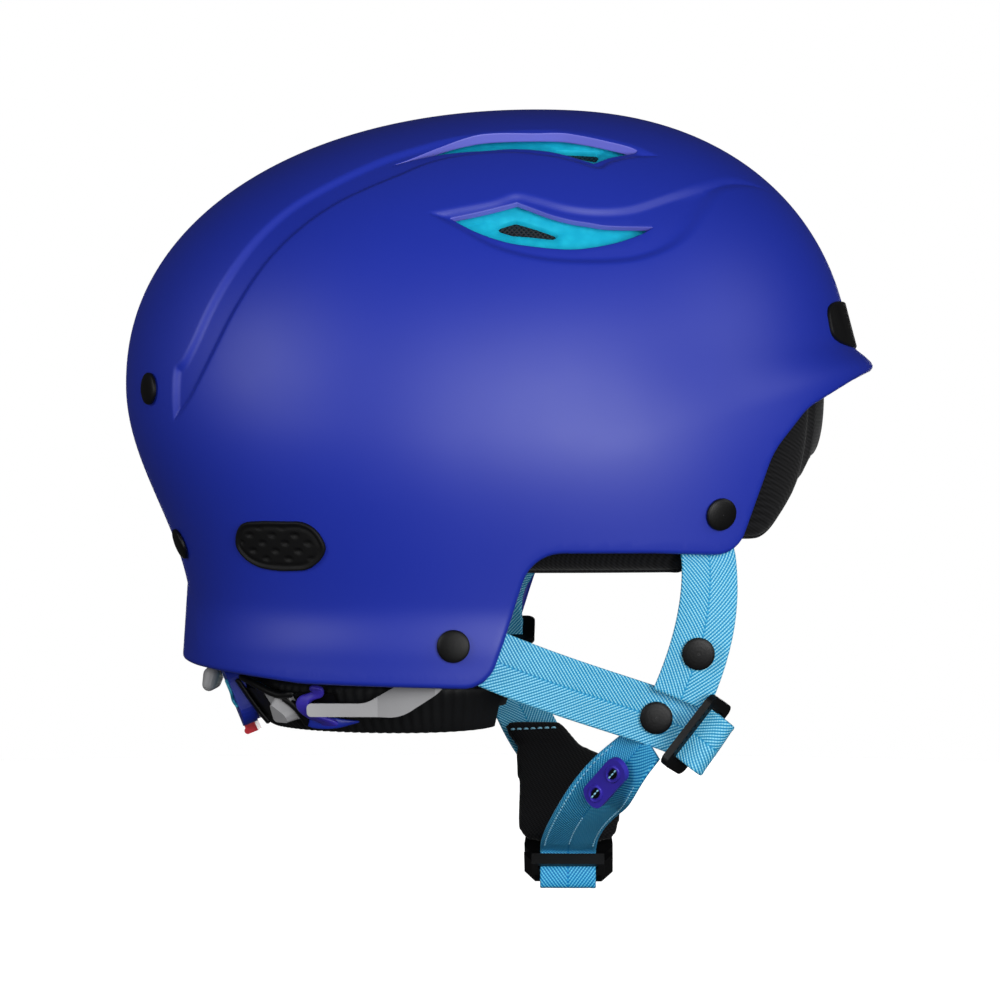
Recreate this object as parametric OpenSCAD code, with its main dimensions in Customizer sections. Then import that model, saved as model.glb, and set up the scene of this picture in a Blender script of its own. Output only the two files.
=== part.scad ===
// Kayak helmet: hard shell with recessed vents, foam liner, soft pads, a nape cradle
// that tightens by squeezing two tabs, a four-point webbing harness and a chin buckle.
// Front is -Y, the wearer's right is -X, up is +Z, and the origin is the head's centre.

/* [Shell] */
// Height of the crown above the origin
crown_z = 125; // [118:1:134]
// Half width of the shell at its widest
shell_half_w = 108; // [104:1:114]
// Reach of the shell forward of its middle
shell_front = 110; // [106:1:116]
// Reach of the shell to the rear of its middle
shell_rear = 148; // [143:1:154]
// Thickness of the shell
shell_wall = 3.8; // [3:0.1:4.4]
// How far the brim stands out at the front
brim_out = 7.5; // [3:0.5:10]
// How far the rear rim kicks out
rim_kick = 3; // [1:0.5:4]
// Depth of the sunk channels round the vents
channel_depth = 1.6; // [0.8:0.1:2]
// Height of the ear arch edge, below the origin
arch_drop = 31; // [27:1:35]
// Depth of the rear rim, below the origin
rim_drop = 76; // [73:1:80]

/* [Liner and pads] */
// Thickness of the foam liner
liner_t = 14; // [12:0.5:16]
// Thickness of the fabric pads
pad_t = 6; // [4:0.5:8]
// How far the side pads hang below the ear arch
arch_pad_drop = 5; // [3:0.5:7]
// Gap between pieces that lie against each other
fit_gap = 0.3; // [0.2:0.05:0.4]

/* [Rivets and bumpers] */
// Radius of the domed rivet caps
cap_r = 5.5; // [4.5:0.1:6.5]
// Radius of the rivet posts
post_r = 2.2; // [1.8:0.1:2.6]
// Thickness of the rubber bumpers
bumper_t = 2.6; // [2.2:0.1:3]
// Length of a side bumper
side_bumper_l = 31; // [27:0.5:34]
// Height of a side bumper
side_bumper_h = 17.5; // [15:0.5:19]
// Height of the front bumper
front_bumper_h = 16; // [13:0.5:18]

/* [Webbing] */
// Width of the webbing
web_w = 20; // [18:0.5:21]
// Thickness of the webbing
web_t = 1.6; // [1.2:0.1:1.8]
// Length of a slider frame
slider_l = 29; // [27:0.5:32]
// Height of a slider frame
slider_h = 15; // [14:0.5:17]

/* [Chin buckle] */
// Width of the buckle socket
socket_w = 32; // [30:0.5:36]
// Length of the buckle socket
socket_l = 27; // [25:0.5:30]
// Thickness of the buckle socket
socket_t = 9; // [8.5:0.5:11]
// Wall of the buckle socket
socket_wall = 1.8; // [1.5:0.1:2]

/* [Nape cradle] */
// Radius of the nape pad's inside
nape_r = 61; // [59:0.5:63]
// Height of the nape pad
nape_h = 17; // [14:0.5:19]
// Thickness of the nape pad
nape_t = 7; // [5:0.5:8]
// Height of the side arms
arm_h = 4.5; // [4:0.25:5.5]
// Thickness of the side arms
arm_t = 2.2; // [1.8:0.1:2.6]
// Travel of the release button
button_travel = 2; // [1.5:0.25:2.5]

/* [Hidden] */

blue = [0.12, 0.12, 0.62];
cyan = [0.04, 0.72, 0.84];
black = [0.05, 0.05, 0.06];
grey = [0.6, 0.6, 0.6];
web_blue = [0.24, 0.63, 0.80];

// Superellipse exponents: plan, front and rear profile, side profile
plan_n = 2.15;
front_n = 2.25;
rear_n = 2.15;
side_n = 2.12;
// Middle of the shell and the heights where each profile is widest
mid_y = -20;
front_eq_z = 24.5;
rear_eq_z = 27.5;
side_eq_z = 12;
// Share of the length at which the plan is widest
wide_share = 0.53;
// How much the shell draws in below its widest height
rear_tuck = 23;
side_tuck = 20;
front_tuck = 6;
floor_z = -95;
around = 36;
rise_rings = 13;
drop_rings = 6;

// Room for the flat faces of the curved layers, and for a flat strap against them
facet_gap = 0.7;
strap_gap = 1.3;
arm_tilt_gap = 1.4;
// Insets of each layer, measured inward from the shell's outside
liner_in = shell_wall + fit_gap;
pad_in = liner_in + liner_t + fit_gap + facet_gap;
rivet_front = [-81.2, -17.5];
rivet_rear = [7.4, -61.4];
rivet_upper = [113, 25];
rivet_lower = [104.8, -28.3];
bumper_at = [65.5, -28];
// How deep the liner is pocketed for webbing and rivet ends
pocket_depth = 6.5;
mesh_depth = liner_in + 4.5;
crown_pad_z = 88;
air_step = 18.6;
brow_edge_in = 11;
side_edge_in = 8;

// Bumpers: lift of the face above the shell, and the front bumper's arc
bumper_lift = 1.2;
dimple_pitch = 6.4;
front_bumper_z = 48;
front_arc_r = 108;
front_bumper_span = 43;
front_lean = 13;

// Height of a rivet cap's underside above the curved shell
cap_seat = 0.45;
// Rivet depths, from the shell's outside to the washer
strap_rivet_depth = shell_wall + strap_gap + web_t + 2 * fit_gap;
strip_t = 2;
strip_x = 34;
strip_w = 12;
strip_in = shell_wall + strap_gap + strip_t / 2;
strip_rivet_depth = shell_wall + strap_gap + strip_t + 2 * fit_gap;
rear_rivet_depth = shell_wall + strap_gap + web_t + arm_t + arm_tilt_gap + 3 * fit_gap;

// Sliders
slot_h = 3.4;
slot_pitch = 5.8;
slot_gap = 0.8;
slider_t = 2.6;

// Buckle: the plug's clearances, its guide and its ladder frame
slide_gap = fit_gap;
inner_w = socket_w - 2 * socket_wall;
inner_t = socket_t - 2 * socket_wall;
plug_t = inner_t - 2 * slide_gap;
ladder_w = web_w + 6;
ladder_l = 12;
ladder_slot = 3.6;
ladder_slots = [6];
ladder_lift = 65;
buckle_at = [38, -29, -127];
buckle_dir = [-0.776, 0, -0.63];
buckle_out = [0.63, 0, -0.776];

// Cradle
neck_y = 15;
nape_z = -84;
neck_lean = 35;
pad_end = 109;
band_r0 = nape_r + nape_t;
band_r1 = band_r0 + 2.2;
band_z0 = nape_z - 5;
band_z1 = nape_z + 5;
band_end = 62;
tab_a = 42.5;
housing_y = 86.4;
housing_z = -81.5;
housing_lean = 22;
housing_r = 75;
housing_t = 5;
housing_w = 46;
housing_h = 23;
// The band starts at the housing's sides
band_start = asin((housing_w / 2 + fit_gap) / (band_r0 + (band_z0 - nape_z) * tan(neck_lean)));
// Where the strips end, on the housing's upper edge
strip_foot = [17, housing_y + housing_h / 2 * sin(housing_lean) + 2.2,
  housing_z + housing_h / 2 * cos(housing_lean) + fit_gap + 1];
button_w = 12;
button_l = 8;
button_proud = 1.5;
// Recess for the inlay, above the button's slot
inlay_w = 30;
inlay_h = housing_h - 11.5;
inlay_z = housing_h / 2 - 2 - inlay_h / 2;

// Side arms and clips
arm_eye_in = 9.5;
arm_eye_x = half_x(rivet_rear[0], rivet_rear[1], 0) - arm_eye_in;
arm_x = arm_eye_x - 10.4;
arm_z = nape_z;
arm_end_y = 58;
rivet_rear_top = [rivet_rear[0] + 3, rivet_rear[1] + 4, 0];
rivet_rear_low = [rivet_rear[0] - 3, rivet_rear[1] - 4, 0];
clip_y = 56;
clip_l = 8.5;
clip_x0 = arm_x - 4;
clip_x1 = arm_x + arm_t / 2 + slide_gap + 2;

// Smooth step from 0 to 1
function ease(t) = (1 - cos(180 * max(0, min(1, t)))) / 2;
// Share of the full reach that is left at height z, for an inset d
function share(z, eq_z, n, d) =
  let(t = max(0, min(1, (z - eq_z) / (crown_z - d - eq_z)))) pow(max(0, 1 - pow(t, n)), 1 / n);
function front_y(z, d) =
  mid_y - (shell_front - d) * share(z, front_eq_z, front_n, d) + front_tuck * ease((front_eq_z - z) / 60);
function rear_y(z, d) =
  mid_y + (shell_rear - d) * share(z, rear_eq_z, rear_n, d) - rear_tuck * ease((rear_eq_z - z) / 83);
function half_w(z, d) =
  (shell_half_w - d) * share(z, side_eq_z, side_n, d) - side_tuck * ease((side_eq_z - z) / 90);
function wide_y(z, d) = front_y(z, d) + wide_share * (rear_y(z, d) - front_y(z, d));
// Outward flare at the brim and round the rear rim
function flare(z, c) =
  brim_out * pow(max(0, c), 2) * ease((43 - z) / 9.5) +
  rim_kick * ease((-48 - z) / 18) * (c < 0 ? 1 : 1 - c);
// Point on the layer at inset d, with phi 0 at the front and 90 on the wearer's left
function layer_point(z, phi, d) =
  let(c = cos(phi), s = sin(phi), e = 2 / plan_n)
  let(y0 = front_y(z, d), y1 = rear_y(z, d), yc = wide_y(z, d))
  let(cx = sign(s) * pow(abs(s), e), cy = sign(c) * pow(abs(c), e), f = flare(z, c))
  [(half_w(z, d) + f) * cx, yc - ((c > 0 ? yc - y0 : y1 - yc) + f) * cy, z];
// Half width of the layer at a side-view place
function half_x(y, z, d) =
  let(yc = wide_y(z, d), reach = y < yc ? yc - front_y(z, d) : rear_y(z, d) - yc)
  let(c = sign(yc - y) * pow(min(1, abs(y - yc) / reach), plan_n / 2), f = flare(z, c))
  (half_w(z, d) + f) * pow(max(0, 1 - pow(min(1, abs(y - yc) / (reach + f)), plan_n)), 1 / plan_n);
// Place on side +X, this far inward of the shell's side
function behind(y, z, gap) = [half_x(y, z, 0) - gap, y, z];
function slope_y(y, z) = (half_x(y + 1, z, 0) - half_x(y - 1, z, 0)) / 2;
function slope_z(y, z) = (half_x(y, z + 1, 0) - half_x(y, z - 1, 0)) / 2;
function normal_at(at) = unit([1, -slope_y(at[0], at[1]), -slope_z(at[0], at[1])]);
// Direction in the shell's surface that runs dy and dz in side view, on side s
function tangent(at, dy, dz, s) =
  unit([s * (slope_y(at[0], at[1]) * dy + slope_z(at[0], at[1]) * dz), dy, dz]);
// Point at a depth below the shell's surface, on side s
function inside(at, depth, s) =
  let(n = normal_at(at), q = [half_x(at[0], at[1], 0), at[0], at[1]] - n * depth) [s * q[0], q[1], q[2]];

// Arc that rounds corner q between p and s with radius r
function round_corner(p, q, s, r) =
  let(a = (p - q) / norm(p - q), b = (s - q) / norm(s - q), h = acos(a * b) / 2)
  let(centre = q + (a + b) / norm(a + b) * r / sin(h), from = q + a * r / tan(h) - centre)
  let(turn = (a[0] * b[1] - a[1] * b[0] > 0 ? -1 : 1) * (180 - 2 * h), n = 6)
  [for (i = [0 : n]) let(w = turn * i / n)
    centre + [from[0] * cos(w) - from[1] * sin(w), from[0] * sin(w) + from[1] * cos(w)]];
// Outline through points [y, z, radius], each corner rounded
function rounded(pts) =
  let(n = len(pts), at = function(i) [pts[(i + n) % n][0], pts[(i + n) % n][1]])
  [for (i = [0 : n - 1])
    each pts[i][2] > 0 ? round_corner(at(i - 1), at(i), at(i + 1), pts[i][2]) : [at(i)]];

// Cubic curve through four control points
function curve(p, n) = [for (i = [0 : n]) let(t = i / n, u = 1 - t)
  u * u * u * p[0] + 3 * u * u * t * p[1] + 3 * u * t * t * p[2] + t * t * t * p[3]];
function unit(v) = v / norm(v);
function span(a, b, n) = [for (i = [0 : n]) a + (b - a) * i / n];
// Half-width vectors along a path and square to it, turned from a to b by this share of it
function widths(path, a, b, half, turned = 1) =
  let(n = len(path) - 1)
  [for (i = [0 : n])
    let(t = unit(path[min(n, i + 1)] - path[max(0, i - 1)]), v = a + (b - a) * ease(i / n / turned))
    unit(v - t * (v * t)) * half];

// Closed skin over rings of points. Seen along the row of rings, each ring runs anticlockwise.
module ring_skin(rings) {
  n = len(rings[0]);
  last = (len(rings) - 1) * n;
  half = n / 2;
  sides = [for (i = [0 : len(rings) - 2], j = [0 : n - 1]) each [
    [i * n + j, i * n + (j + 1) % n, (i + 1) * n + j],
    [i * n + (j + 1) % n, (i + 1) * n + (j + 1) % n, (i + 1) * n + j]]];
  first_cap = [for (k = [0 : half - 2]) each [[k + 1, k, n - 1 - k], [n - 2 - k, k + 1, n - 1 - k]]];
  last_cap = [for (f = first_cap) [last + f[0], last + f[2], last + f[1]]];
  polyhedron([for (r = rings) each r], concat(sides, first_cap, last_cap), convexity = 6);
}

// Solid dome at inset d, closed flat below the rim
module dome(d) {
  top = crown_z - d;
  zs = concat([for (i = [0 : rise_rings - 1]) side_eq_z + (top - side_eq_z) * cos(2 + 88 * i / rise_rings)],
    [for (i = [0 : drop_rings]) side_eq_z + (floor_z - side_eq_z) * i / drop_rings]);
  ring_skin([for (z = zs) [for (j = [0 : around - 1]) layer_point(z, j * 360 / around, d)]]);
}

// Flat strip through centre points, with a half-width vector at each
module ribbon(centres, halves, t) {
  n = len(centres) - 1;
  ring_skin([for (i = [0 : n])
    let(along = centres[min(n, i + 1)] - centres[max(0, i - 1)], w = halves[i])
    let(u = unit(cross(w, along)) * t / 2, c = centres[i])
    [c + w + u, c - w + u, c - w - u, c + w - u]]);
}

// Cushion on the layer at inset d(z, phi), crowned, with thin drawn-in edges
module cushion(phis, low, high, d, t, rows = 7) {
  m = len(phis) - 1;
  ring_skin([for (i = [0 : m])
    let(phi = phis[i], z0 = low(phi), z1 = high(phi), across = 1 - pow(abs(2 * i / m - 1), 3))
    let(zs = [for (j = [0 : rows]) z0 + (z1 - z0) * j / rows])
    let(thick = [for (j = [0 : rows])
      t * (0.45 + 0.55 * sqrt(across * (1 - pow(abs(2 * j / rows - 1), 3))))])
    concat([for (j = [0 : rows]) layer_point(zs[j], phi, d(zs[j], phi))],
      [for (j = [rows : -1 : 0]) layer_point(zs[j], phi, max(pad_in, d(zs[j], phi)) + thick[j])])]);
}

// Extrudes a side-view outline of [y, z] points from x0 to x1
module side_prism(pts, x0, x1) {
  translate([x0, 0, 0]) rotate([90, 0, 90]) linear_extrude(x1 - x0) polygon(pts);
}
module both_sides() {
  children();
  mirror([1, 0, 0]) children();
}
// Puts its children on the shell's +X side: +Z is outward, +X runs down and +Y to the rear
module on_shell(at) {
  n = unit([1, -slope_y(at[0], at[1]), -slope_z(at[0], at[1])]);
  translate([half_x(at[0], at[1], 0), at[0], at[1]])
    rotate([0, acos(n[2]), atan2(n[1], n[0])]) children();
}

// Side-view line of the shell's rim, from rear to front, lifted by up
function rim_line(up) = rounded([[160, -120, 0], [160, -62 + up, 0], [100, 5 - rim_drop + up, 30],
  [60, 1 - rim_drop + up, 60], [-4, -rim_drop + up, 12], [-19, -arch_drop + up, 14],
  [-60, -arch_drop + up, 0], [-87.5, -1 - arch_drop + up, 11], [-100, 3 + up, 30], [-112, 18 + up, 20],
  [-128, 27.5 + up, 20], [-160, 44 + up, 0], [-160, -120, 0]]);

// Side-view outlines of the vents in the shell
upper_vent = rounded([[31, 100.2, 1], [14, 106.6, 20], [-10, 112.2, 40], [-34, 110.6, 20], [-55, 105.2, 1],
  [-46, 103.6, 3], [-40, 100.6, 2], [-24, 105.2, 20], [-6, 106.8, 30], [14, 104.2, 20]]);
lower_vent = rounded([[10, 81, 1], [-4, 83.6, 8], [-13, 87.4, 3], [-22, 82.8, 10], [-42, 78.8, 14],
  [-60, 78.8, 1], [-50, 73.8, 5], [-38, 70.6, 8], [-20, 69.8, 20], [2, 76.4, 8]]);
// Windows through the liner, in the frame that on_shell gives at these places
upper_window_at = [-31.5, 103];
lower_window_at = [-17, 76];
upper_window = rounded([[-3, 8, 1], [-3.4, -9.5, 1], [4, -9, 1], [1.2, 4, 2]]);
lower_window = rounded([[-1.6, 10.4, 1], [-5.2, 3.1, 1], [2.2, -12, 1], [3, -6, 1], [2.2, 5, 2]]);
// Stations of the sunk channels: [y, top z, bottom z] from rear to front
upper_channel = [[104, 16, 15], [104, 28, 20], [99, 42, 26], [92, 53, 32], [83, 66, 48], [72, 78, 66],
  [59, 89, 81], [44, 98, 92], [28, 103, 97], [18, 110, 101], [4, 113, 104], [-14, 114, 104],
  [-32, 113, 101], [-44, 111, 98], [-53, 108, 102], [-61, 104.5, 103.5]];
lower_channel = [[18, 83, 82], [6, 86, 75], [-4, 88, 70], [-13, 90.5, 67.5], [-25, 87, 65.8],
  [-37, 85.5, 65], [-49, 86, 66], [-60, 90, 68.5], [-67, 93, 72], [-73, 95, 78], [-79, 97, 86],
  [-85, 98.3, 92], [-92, 97.6, 94.5], [-101, 93.4, 92.6]];

// Notch in the liner's lower edge where the front webbing comes out
strap_notch = [[-91, -60], [-57, -60], [-57, -5], [-91, -5]];

module channel(stations, x0, x1) {
  for (i = [0 : len(stations) - 2])
    hull() for (s = [stations[i], stations[i + 1]])
      translate([x0, s[0] - 0.05, s[2]]) cube([x1 - x0, 0.1, s[1] - s[2]]);
}

// Molded shell with its sunk channels, vents, rivet holes and bumper pockets
module outer_shell() color(blue) {
  difference() {
    union() {
      difference() {
        dome(0);
        both_sides() {
          channel(upper_channel, 40, 130);
          channel(lower_channel, 14, 130);
        }
      }
      dome(channel_depth);
    }
    dome(shell_wall);
    both_sides() {
      side_prism(upper_vent, 34, 130);
      side_prism(lower_vent, 60, 130);
      for (at = [rivet_front, rivet_rear, rivet_upper, rivet_lower])
        on_shell(at) cylinder(h = 24, r = post_r + fit_gap, center = true, $fn = 24);
      on_shell(bumper_at) translate([0, 0, bumper_lift - bumper_t - fit_gap])
        linear_extrude(12) offset(delta = fit_gap) bumper_face();
    }
    front_arc(bumper_lift - bumper_t - fit_gap, 8, front_bumper_span + 0.5, front_bumper_h + 2 * fit_gap);
    side_prism(rim_line(0), -140, 140);
  }
}

// Foam liner inside the shell, pocketed for the pads, the webbing and the rivet ends
module impact_liner() color(cyan) {
  difference() {
    dome(liner_in);
    dome(liner_in + liner_t);
    side_prism(rim_line(2), -140, 140);
    side_prism([[20, -120], [160, -120], [160, -46], [-24, -46], [-24, -120]], -140, 140);
    cushion(brow_phis, function(p) brow_low(p) - 20, function(p) brow_high(p) + 0.6,
      function(z, p) min(brow_in(z - 3, p), brow_in(z, p)) - fit_gap - facet_gap, pad_t + 1, 12);
    both_sides() {
      cushion(span(56.5, 118.5, 12), function(p) side_low(p) - 20, function(p) side_high(p) + 0.6,
        function(z, p) side_in(z - 3, p) - fit_gap - facet_gap, pad_t + 1, 12);
      difference() {
        union() {
          for (at = [rivet_front, rivet_rear, rivet_upper, rivet_lower])
            on_shell(at) cylinder(h = 30, r = 8, center = true, $fn = 24);
          translate([strip_x - 1.5 * strip_w, 60, -80]) cube([2.5 * strip_w, 80, 70]);
        }
        dome(liner_in + pocket_depth);
      }
      side_prism(strap_notch, 30, 130);
      on_shell(upper_window_at) translate([0, 0, -26]) linear_extrude(30) polygon(upper_window);
      on_shell(lower_window_at) translate([0, 0, -26]) linear_extrude(30) polygon(lower_window);
    }
    // Strip of air that runs down the middle of the crown
    for (i = [-4 : 4])
      hull() for (k = [i - 0.5, i + 0.5])
        translate([0, mid_y + air_step * k, crown_z - pad_in - 0.72 * k * k]) sphere(r = 5, $fn = 16);
  }
}

// Grilles that close the liner's windows, just under the foam's face
module vent_mesh() color(black) {
  both_sides()
    for (w = [[upper_window_at, upper_window], [lower_window_at, lower_window]])
      on_shell(w[0]) translate([0, 0, -mesh_depth]) linear_extrude(0.8) difference() {
        offset(delta = -0.15) polygon(w[1]);
        for (y = [-11 : 2.2 : 11], x = [-5.1 : 1.7 : 5.1])
          translate([x, y]) square([1, 1.5], center = true);
      }
}

// Rubber bumpers with a raised rim and staggered dimples
module bumper_face() {
  r = side_bumper_h * 0.38;
  hull() {
    translate([side_bumper_h / 2 - r, side_bumper_l / 2 - r]) circle(r = r, $fn = 32);
    translate([side_bumper_h / 2 - r, r - side_bumper_l / 2]) circle(r = r, $fn = 32);
    translate([3 - side_bumper_h / 2, side_bumper_l / 2 - 3]) circle(r = 3, $fn = 24);
    translate([r - side_bumper_h / 2, r - side_bumper_l / 2]) circle(r = r, $fn = 32);
  }
}
module side_bumper() color(black) {
  on_shell(bumper_at) translate([0, 0, bumper_lift - bumper_t]) difference() {
    linear_extrude(bumper_t) bumper_face();
    translate([0, 0, bumper_t - 0.7]) linear_extrude(1) offset(delta = -1.4) bumper_face();
    for (row = [-2 : 2], k = [-1.5 : 1 : 1.5])
      if (abs(row) < 2 || abs(k) < 1.5)
        translate([row * 2.6, (k + (row % 2 == 0 ? 0 : 0.5)) * dimple_pitch - 1, bumper_t + 0.3])
          sphere(r = 1.5, $fn = 16);
  }
}
// Leaning arc that follows the shell's front, between two heights off the surface
module front_arc(low, high, sweep, h) {
  translate([0, front_y(front_bumper_z, 0) + front_arc_r, front_bumper_z])
    rotate([0, 0, -90 - sweep / 2]) rotate_extrude(angle = sweep, $fn = 96)
      translate([front_arc_r, 0]) rotate(front_lean) translate([low, -h / 2]) square([high - low, h]);
}
module front_bumper() color(black) difference() {
  front_arc(bumper_lift - bumper_t, bumper_lift, front_bumper_span, front_bumper_h);
  front_arc(bumper_lift - 0.7, bumper_lift + 1, front_bumper_span - 1.6, front_bumper_h - 2.8);
  translate([0, front_y(front_bumper_z, 0) + front_arc_r, front_bumper_z])
    for (row = [-1 : 1], k = [-5 : 5])
      rotate([0, 0, (k + (row == 0 ? 0 : 0.5)) * 3.4]) translate([0, -front_arc_r, 0])
        rotate([-front_lean, 0, 0]) translate([0, -bumper_lift - 0.3, row * 3.4]) sphere(r = 1.5, $fn = 16);
}

// Rivet with a domed cap outside and a washer at depth, its cap seated on the shell
module rivet(depth) {
  rotate_extrude($fn = 48) polygon(concat(
    [[0, -depth - 1.4], [4.6, -depth - 1.4], [4.6, -depth - 0.2], [post_r, -depth - 0.2],
      [post_r, cap_seat], [cap_r, cap_seat]],
    [for (i = [0 : 8]) [cap_r * cos(90 * i / 8), 1.1 + 1.1 * sin(90 * i / 8)]]));
}
module front_strap_rivets() color(black) both_sides() on_shell(rivet_front) rivet(strap_rivet_depth);
module rear_strap_rivets() color(black) both_sides() on_shell(rivet_rear) rivet(rear_rivet_depth);
module upper_cradle_rivets() color(black) both_sides() on_shell(rivet_upper) rivet(shell_wall + strap_gap);
module lower_cradle_rivets() color(black) both_sides() on_shell(rivet_lower) rivet(strip_rivet_depth);

// Fabric pads inside the liner
brow_phis = span(-50, 50, 18);
side_phis = span(57, 118, 12);
function brow_low(p) = 10 - 38 * ease((abs(p) - 20) / 36);
function brow_high(p) = 50;
function brow_in(z, p) =
  min(pad_in, brow_edge_in + (pad_in - brow_edge_in) * ease((z - brow_low(p) - 24) / 14) + flare(z, cos(p)));
function side_low(p) = -arch_drop - arch_pad_drop - 0.5 - 5 * ease((p - 95) / 20);
function side_high(p) = 8;
function side_in(z, p) = side_edge_in + (pad_in - side_edge_in) * ease((z + arch_drop - 2) / 12);
module brow_pad() color(black)
  cushion(brow_phis, function(p) brow_low(p), function(p) brow_high(p), function(z, p) brow_in(z, p), pad_t);
module side_pad() color(black)
  cushion(side_phis, function(p) side_low(p), function(p) side_high(p), function(z, p) side_in(z, p), pad_t);
module rear_pad() color(black)
  cushion(span(150, 210, 12), function(p) -14, function(p) 46, function(z, p) pad_in, pad_t);
module crown_pad() color(black) {
  top = crown_z - pad_in;
  n = 7;
  outer = [for (i = [0 : n]) top - (top - crown_pad_z) * pow(max(0.02, i / n), 2)];
  ring_skin(concat(
    [for (i = [0 : n]) [for (j = [0 : 23]) layer_point(outer[i], j * 15, pad_in)]],
    [for (i = [n : -1 : 0]) let(t = pad_t * (0.4 + 0.6 * sqrt(1 - pow(i / n, 4))))
      [for (j = [0 : 23]) layer_point(outer[i] - t, j * 15, pad_in + t * 0.6)]]));
}

// Plastic strips that hang the cradle from the lower rivets, inside the shell
strip_path = concat([inside([107.5, -21], strip_in, 1), inside(rivet_lower, strip_in, 1)],
  curve([inside([104.5, -36], strip_in, 1), [28, 92, -50], [20, 92, -60], strip_foot], 6));
module suspension_strips() color(black) both_sides() {
  p = strip_path;
  difference() {
    ribbon(p, widths(p, tangent(rivet_lower, -1, 0.1, 1) * -1, [1, -0.3, 0], strip_w / 2), strip_t);
    on_shell(rivet_lower) cylinder(h = 20, r = post_r + fit_gap, center = true, $fn = 24);
  }
}

// Side arms that guide the cradle, from the rear strap rivets back along the neck
module arm() color(grey) {
  top = arm_z + arm_h / 2;
  low = arm_z - arm_h / 2;
  outline = rounded([[arm_end_y, top, 1.5], [38, top, 10], [17, -69.5, 12], rivet_rear_top, rivet_rear_low,
    [12, -77, 16], [26, low, 14], [arm_end_y, low, 1.5]]);
  plan = [[arm_x, 80], [arm_x, 34], [arm_eye_x, 14], [arm_eye_x, -10]];
  difference() {
    intersection() {
      translate([40, 0, 0]) rotate([90, 0, 90]) linear_extrude(70) {
        polygon(outline);
        translate(rivet_rear) circle(r = 5.5, $fn = 32);
      }
      translate([0, 0, -120]) linear_extrude(90) polygon(concat(
        [for (i = [0 : 3]) plan[i] - [arm_t / 2, 0]], [for (i = [3 : -1 : 0]) plan[i] + [arm_t / 2, 0]]));
    }
    on_shell(rivet_rear) cylinder(h = 30, r = post_r + fit_gap, center = true, $fn = 24);
  }
}

// Webbing harness. The near side is the wearer's right, and on the far side the straps
// are drawn back, so its slider hangs by the rear rivet.
web_in = shell_wall + strap_gap + web_t / 2;
near_slider = [-74, -73.3, -91.7];
near_bar = [0, -0.607, 0.795];
near_axis = unit([-0.5, -0.69, -0.526]);
near_step = cross(near_axis, near_bar) * slot_pitch / 2;
near_lead = unit([-0.5, -0.8, -0.35]);
loop_l = 6.5;
far_slider = [68, -1, -63];
far_bar = [0, -1, 0];
far_axis = unit([0.55, 0, -0.83]);
far_step = cross(far_axis, far_bar) * slot_pitch / 2;

near_front = concat([inside([-81.2, -9], web_in, -1), inside(rivet_front, web_in, -1)],
  curve([inside([-79.5, -29], web_in, -1), [-77.6, -79.5, -46], [-76, -76, -62],
    [-73.6, -68.2, -80.2]], 10));
near_front_w = widths(near_front, tangent(rivet_front, 1, 0, -1), [0, 1, 0.3], web_w / 2);
near_rear = concat([inside([15, -57.8], web_in, -1), inside(rivet_rear, web_in, -1)],
  curve([inside([-1, -65], web_in, -1), [-84, -30, -77], near_slider - near_step - near_lead * 24,
    near_slider - near_step - near_axis * 3], 9),
  [near_slider - near_step + near_axis * 3, near_slider - near_step + near_axis * loop_l],
  [for (a = [30 : 30 : 150])
    near_slider - near_step * cos(a) + near_axis * (loop_l + sin(a) * slot_pitch / 2)],
  [near_slider + near_step + near_axis * loop_l, near_slider + near_step + near_axis * 3,
    near_slider + near_step - near_axis * 3]);
near_rear_w = widths(near_rear, tangent(rivet_rear, -0.34, 0.94, -1), near_bar, web_w / 2);
far_front = concat([inside([-87, -17.5], web_in, 1), inside(rivet_front, web_in, 1)],
  curve([inside([-76, -17.5], web_in, 1), [78, -71, -18], [57.5, -66, -20], [57, -30, -24]], 6),
  curve([[57, -27, -24.5], [57, -9, -27], [58, 0, -44], far_slider + far_step - far_axis * 12], 6),
  [far_slider + far_step - far_axis * 3, far_slider + far_step + far_axis * 4]);
far_front_w = widths(far_front, tangent(rivet_front, 0, 1, 1), [0, -1, 0], web_w / 2);
far_rear = [inside([13, -58], web_in, 1), inside(rivet_rear, web_in, 1), inside([3, -64.5], web_in, 1),
  behind(-3, -69.5, 9.0), behind(-5, -73, 12.5), behind(-5.3, -75.5, 13.7)];
far_rear_w = widths(far_rear, tangent(rivet_rear, -0.34, 0.94, 1), [0, -1, 0.2], web_w / 2);
near_chin = concat(curve([[-66.3, -57, -94.4], [-64, -45, -109], ladder_at(40, 3), ladder_at(7.8, 4.5)], 10),
  [ladder_at(7.8, 0), ladder_at(7.7, -3), ladder_at(6.9, -5), ladder_at(5.8, -6.8), ladder_at(4.4, -8)]);
near_chin_w = widths(near_chin, [-0.75, -0.5, -0.4], [0, -1, 0], web_w / 2, 0.55);
far_chin = concat(
  curve([far_slider - far_step - far_axis * 3, far_slider - far_step + far_axis * 12, [76.5, -4, -80],
    [70.5, -9.5, -91]], 6),
  curve([[69, -10.5, -93], [64, -14, -100], [57, -19, -108], [51, -24.5, -112.5]], 5),
  curve([[49.5, -26, -113.5], buckle_point(-14, -5.5), buckle_point(-8, -5), buckle_point(-4.3, -3.4)], 4),
  [buckle_point(-4.3, 3)]);
far_chin_w = widths(far_chin, [0, -1, 0], [0, -1, 0], web_w / 2);
guard_t = 5;
guard_path = concat([for (i = [9, 11, 12]) strap_back(far_chin, far_chin_w, i, guard_t / 2 + 1.5)],
  [for (x = [-2, 5, 12, 19, 24]) buckle_point(x, -9)]);
function guard_half(t) = 10.5 + 7.5 * ease((t - 0.08) / 0.35) - 3 * ease((t - 0.8) / 0.25);
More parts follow.
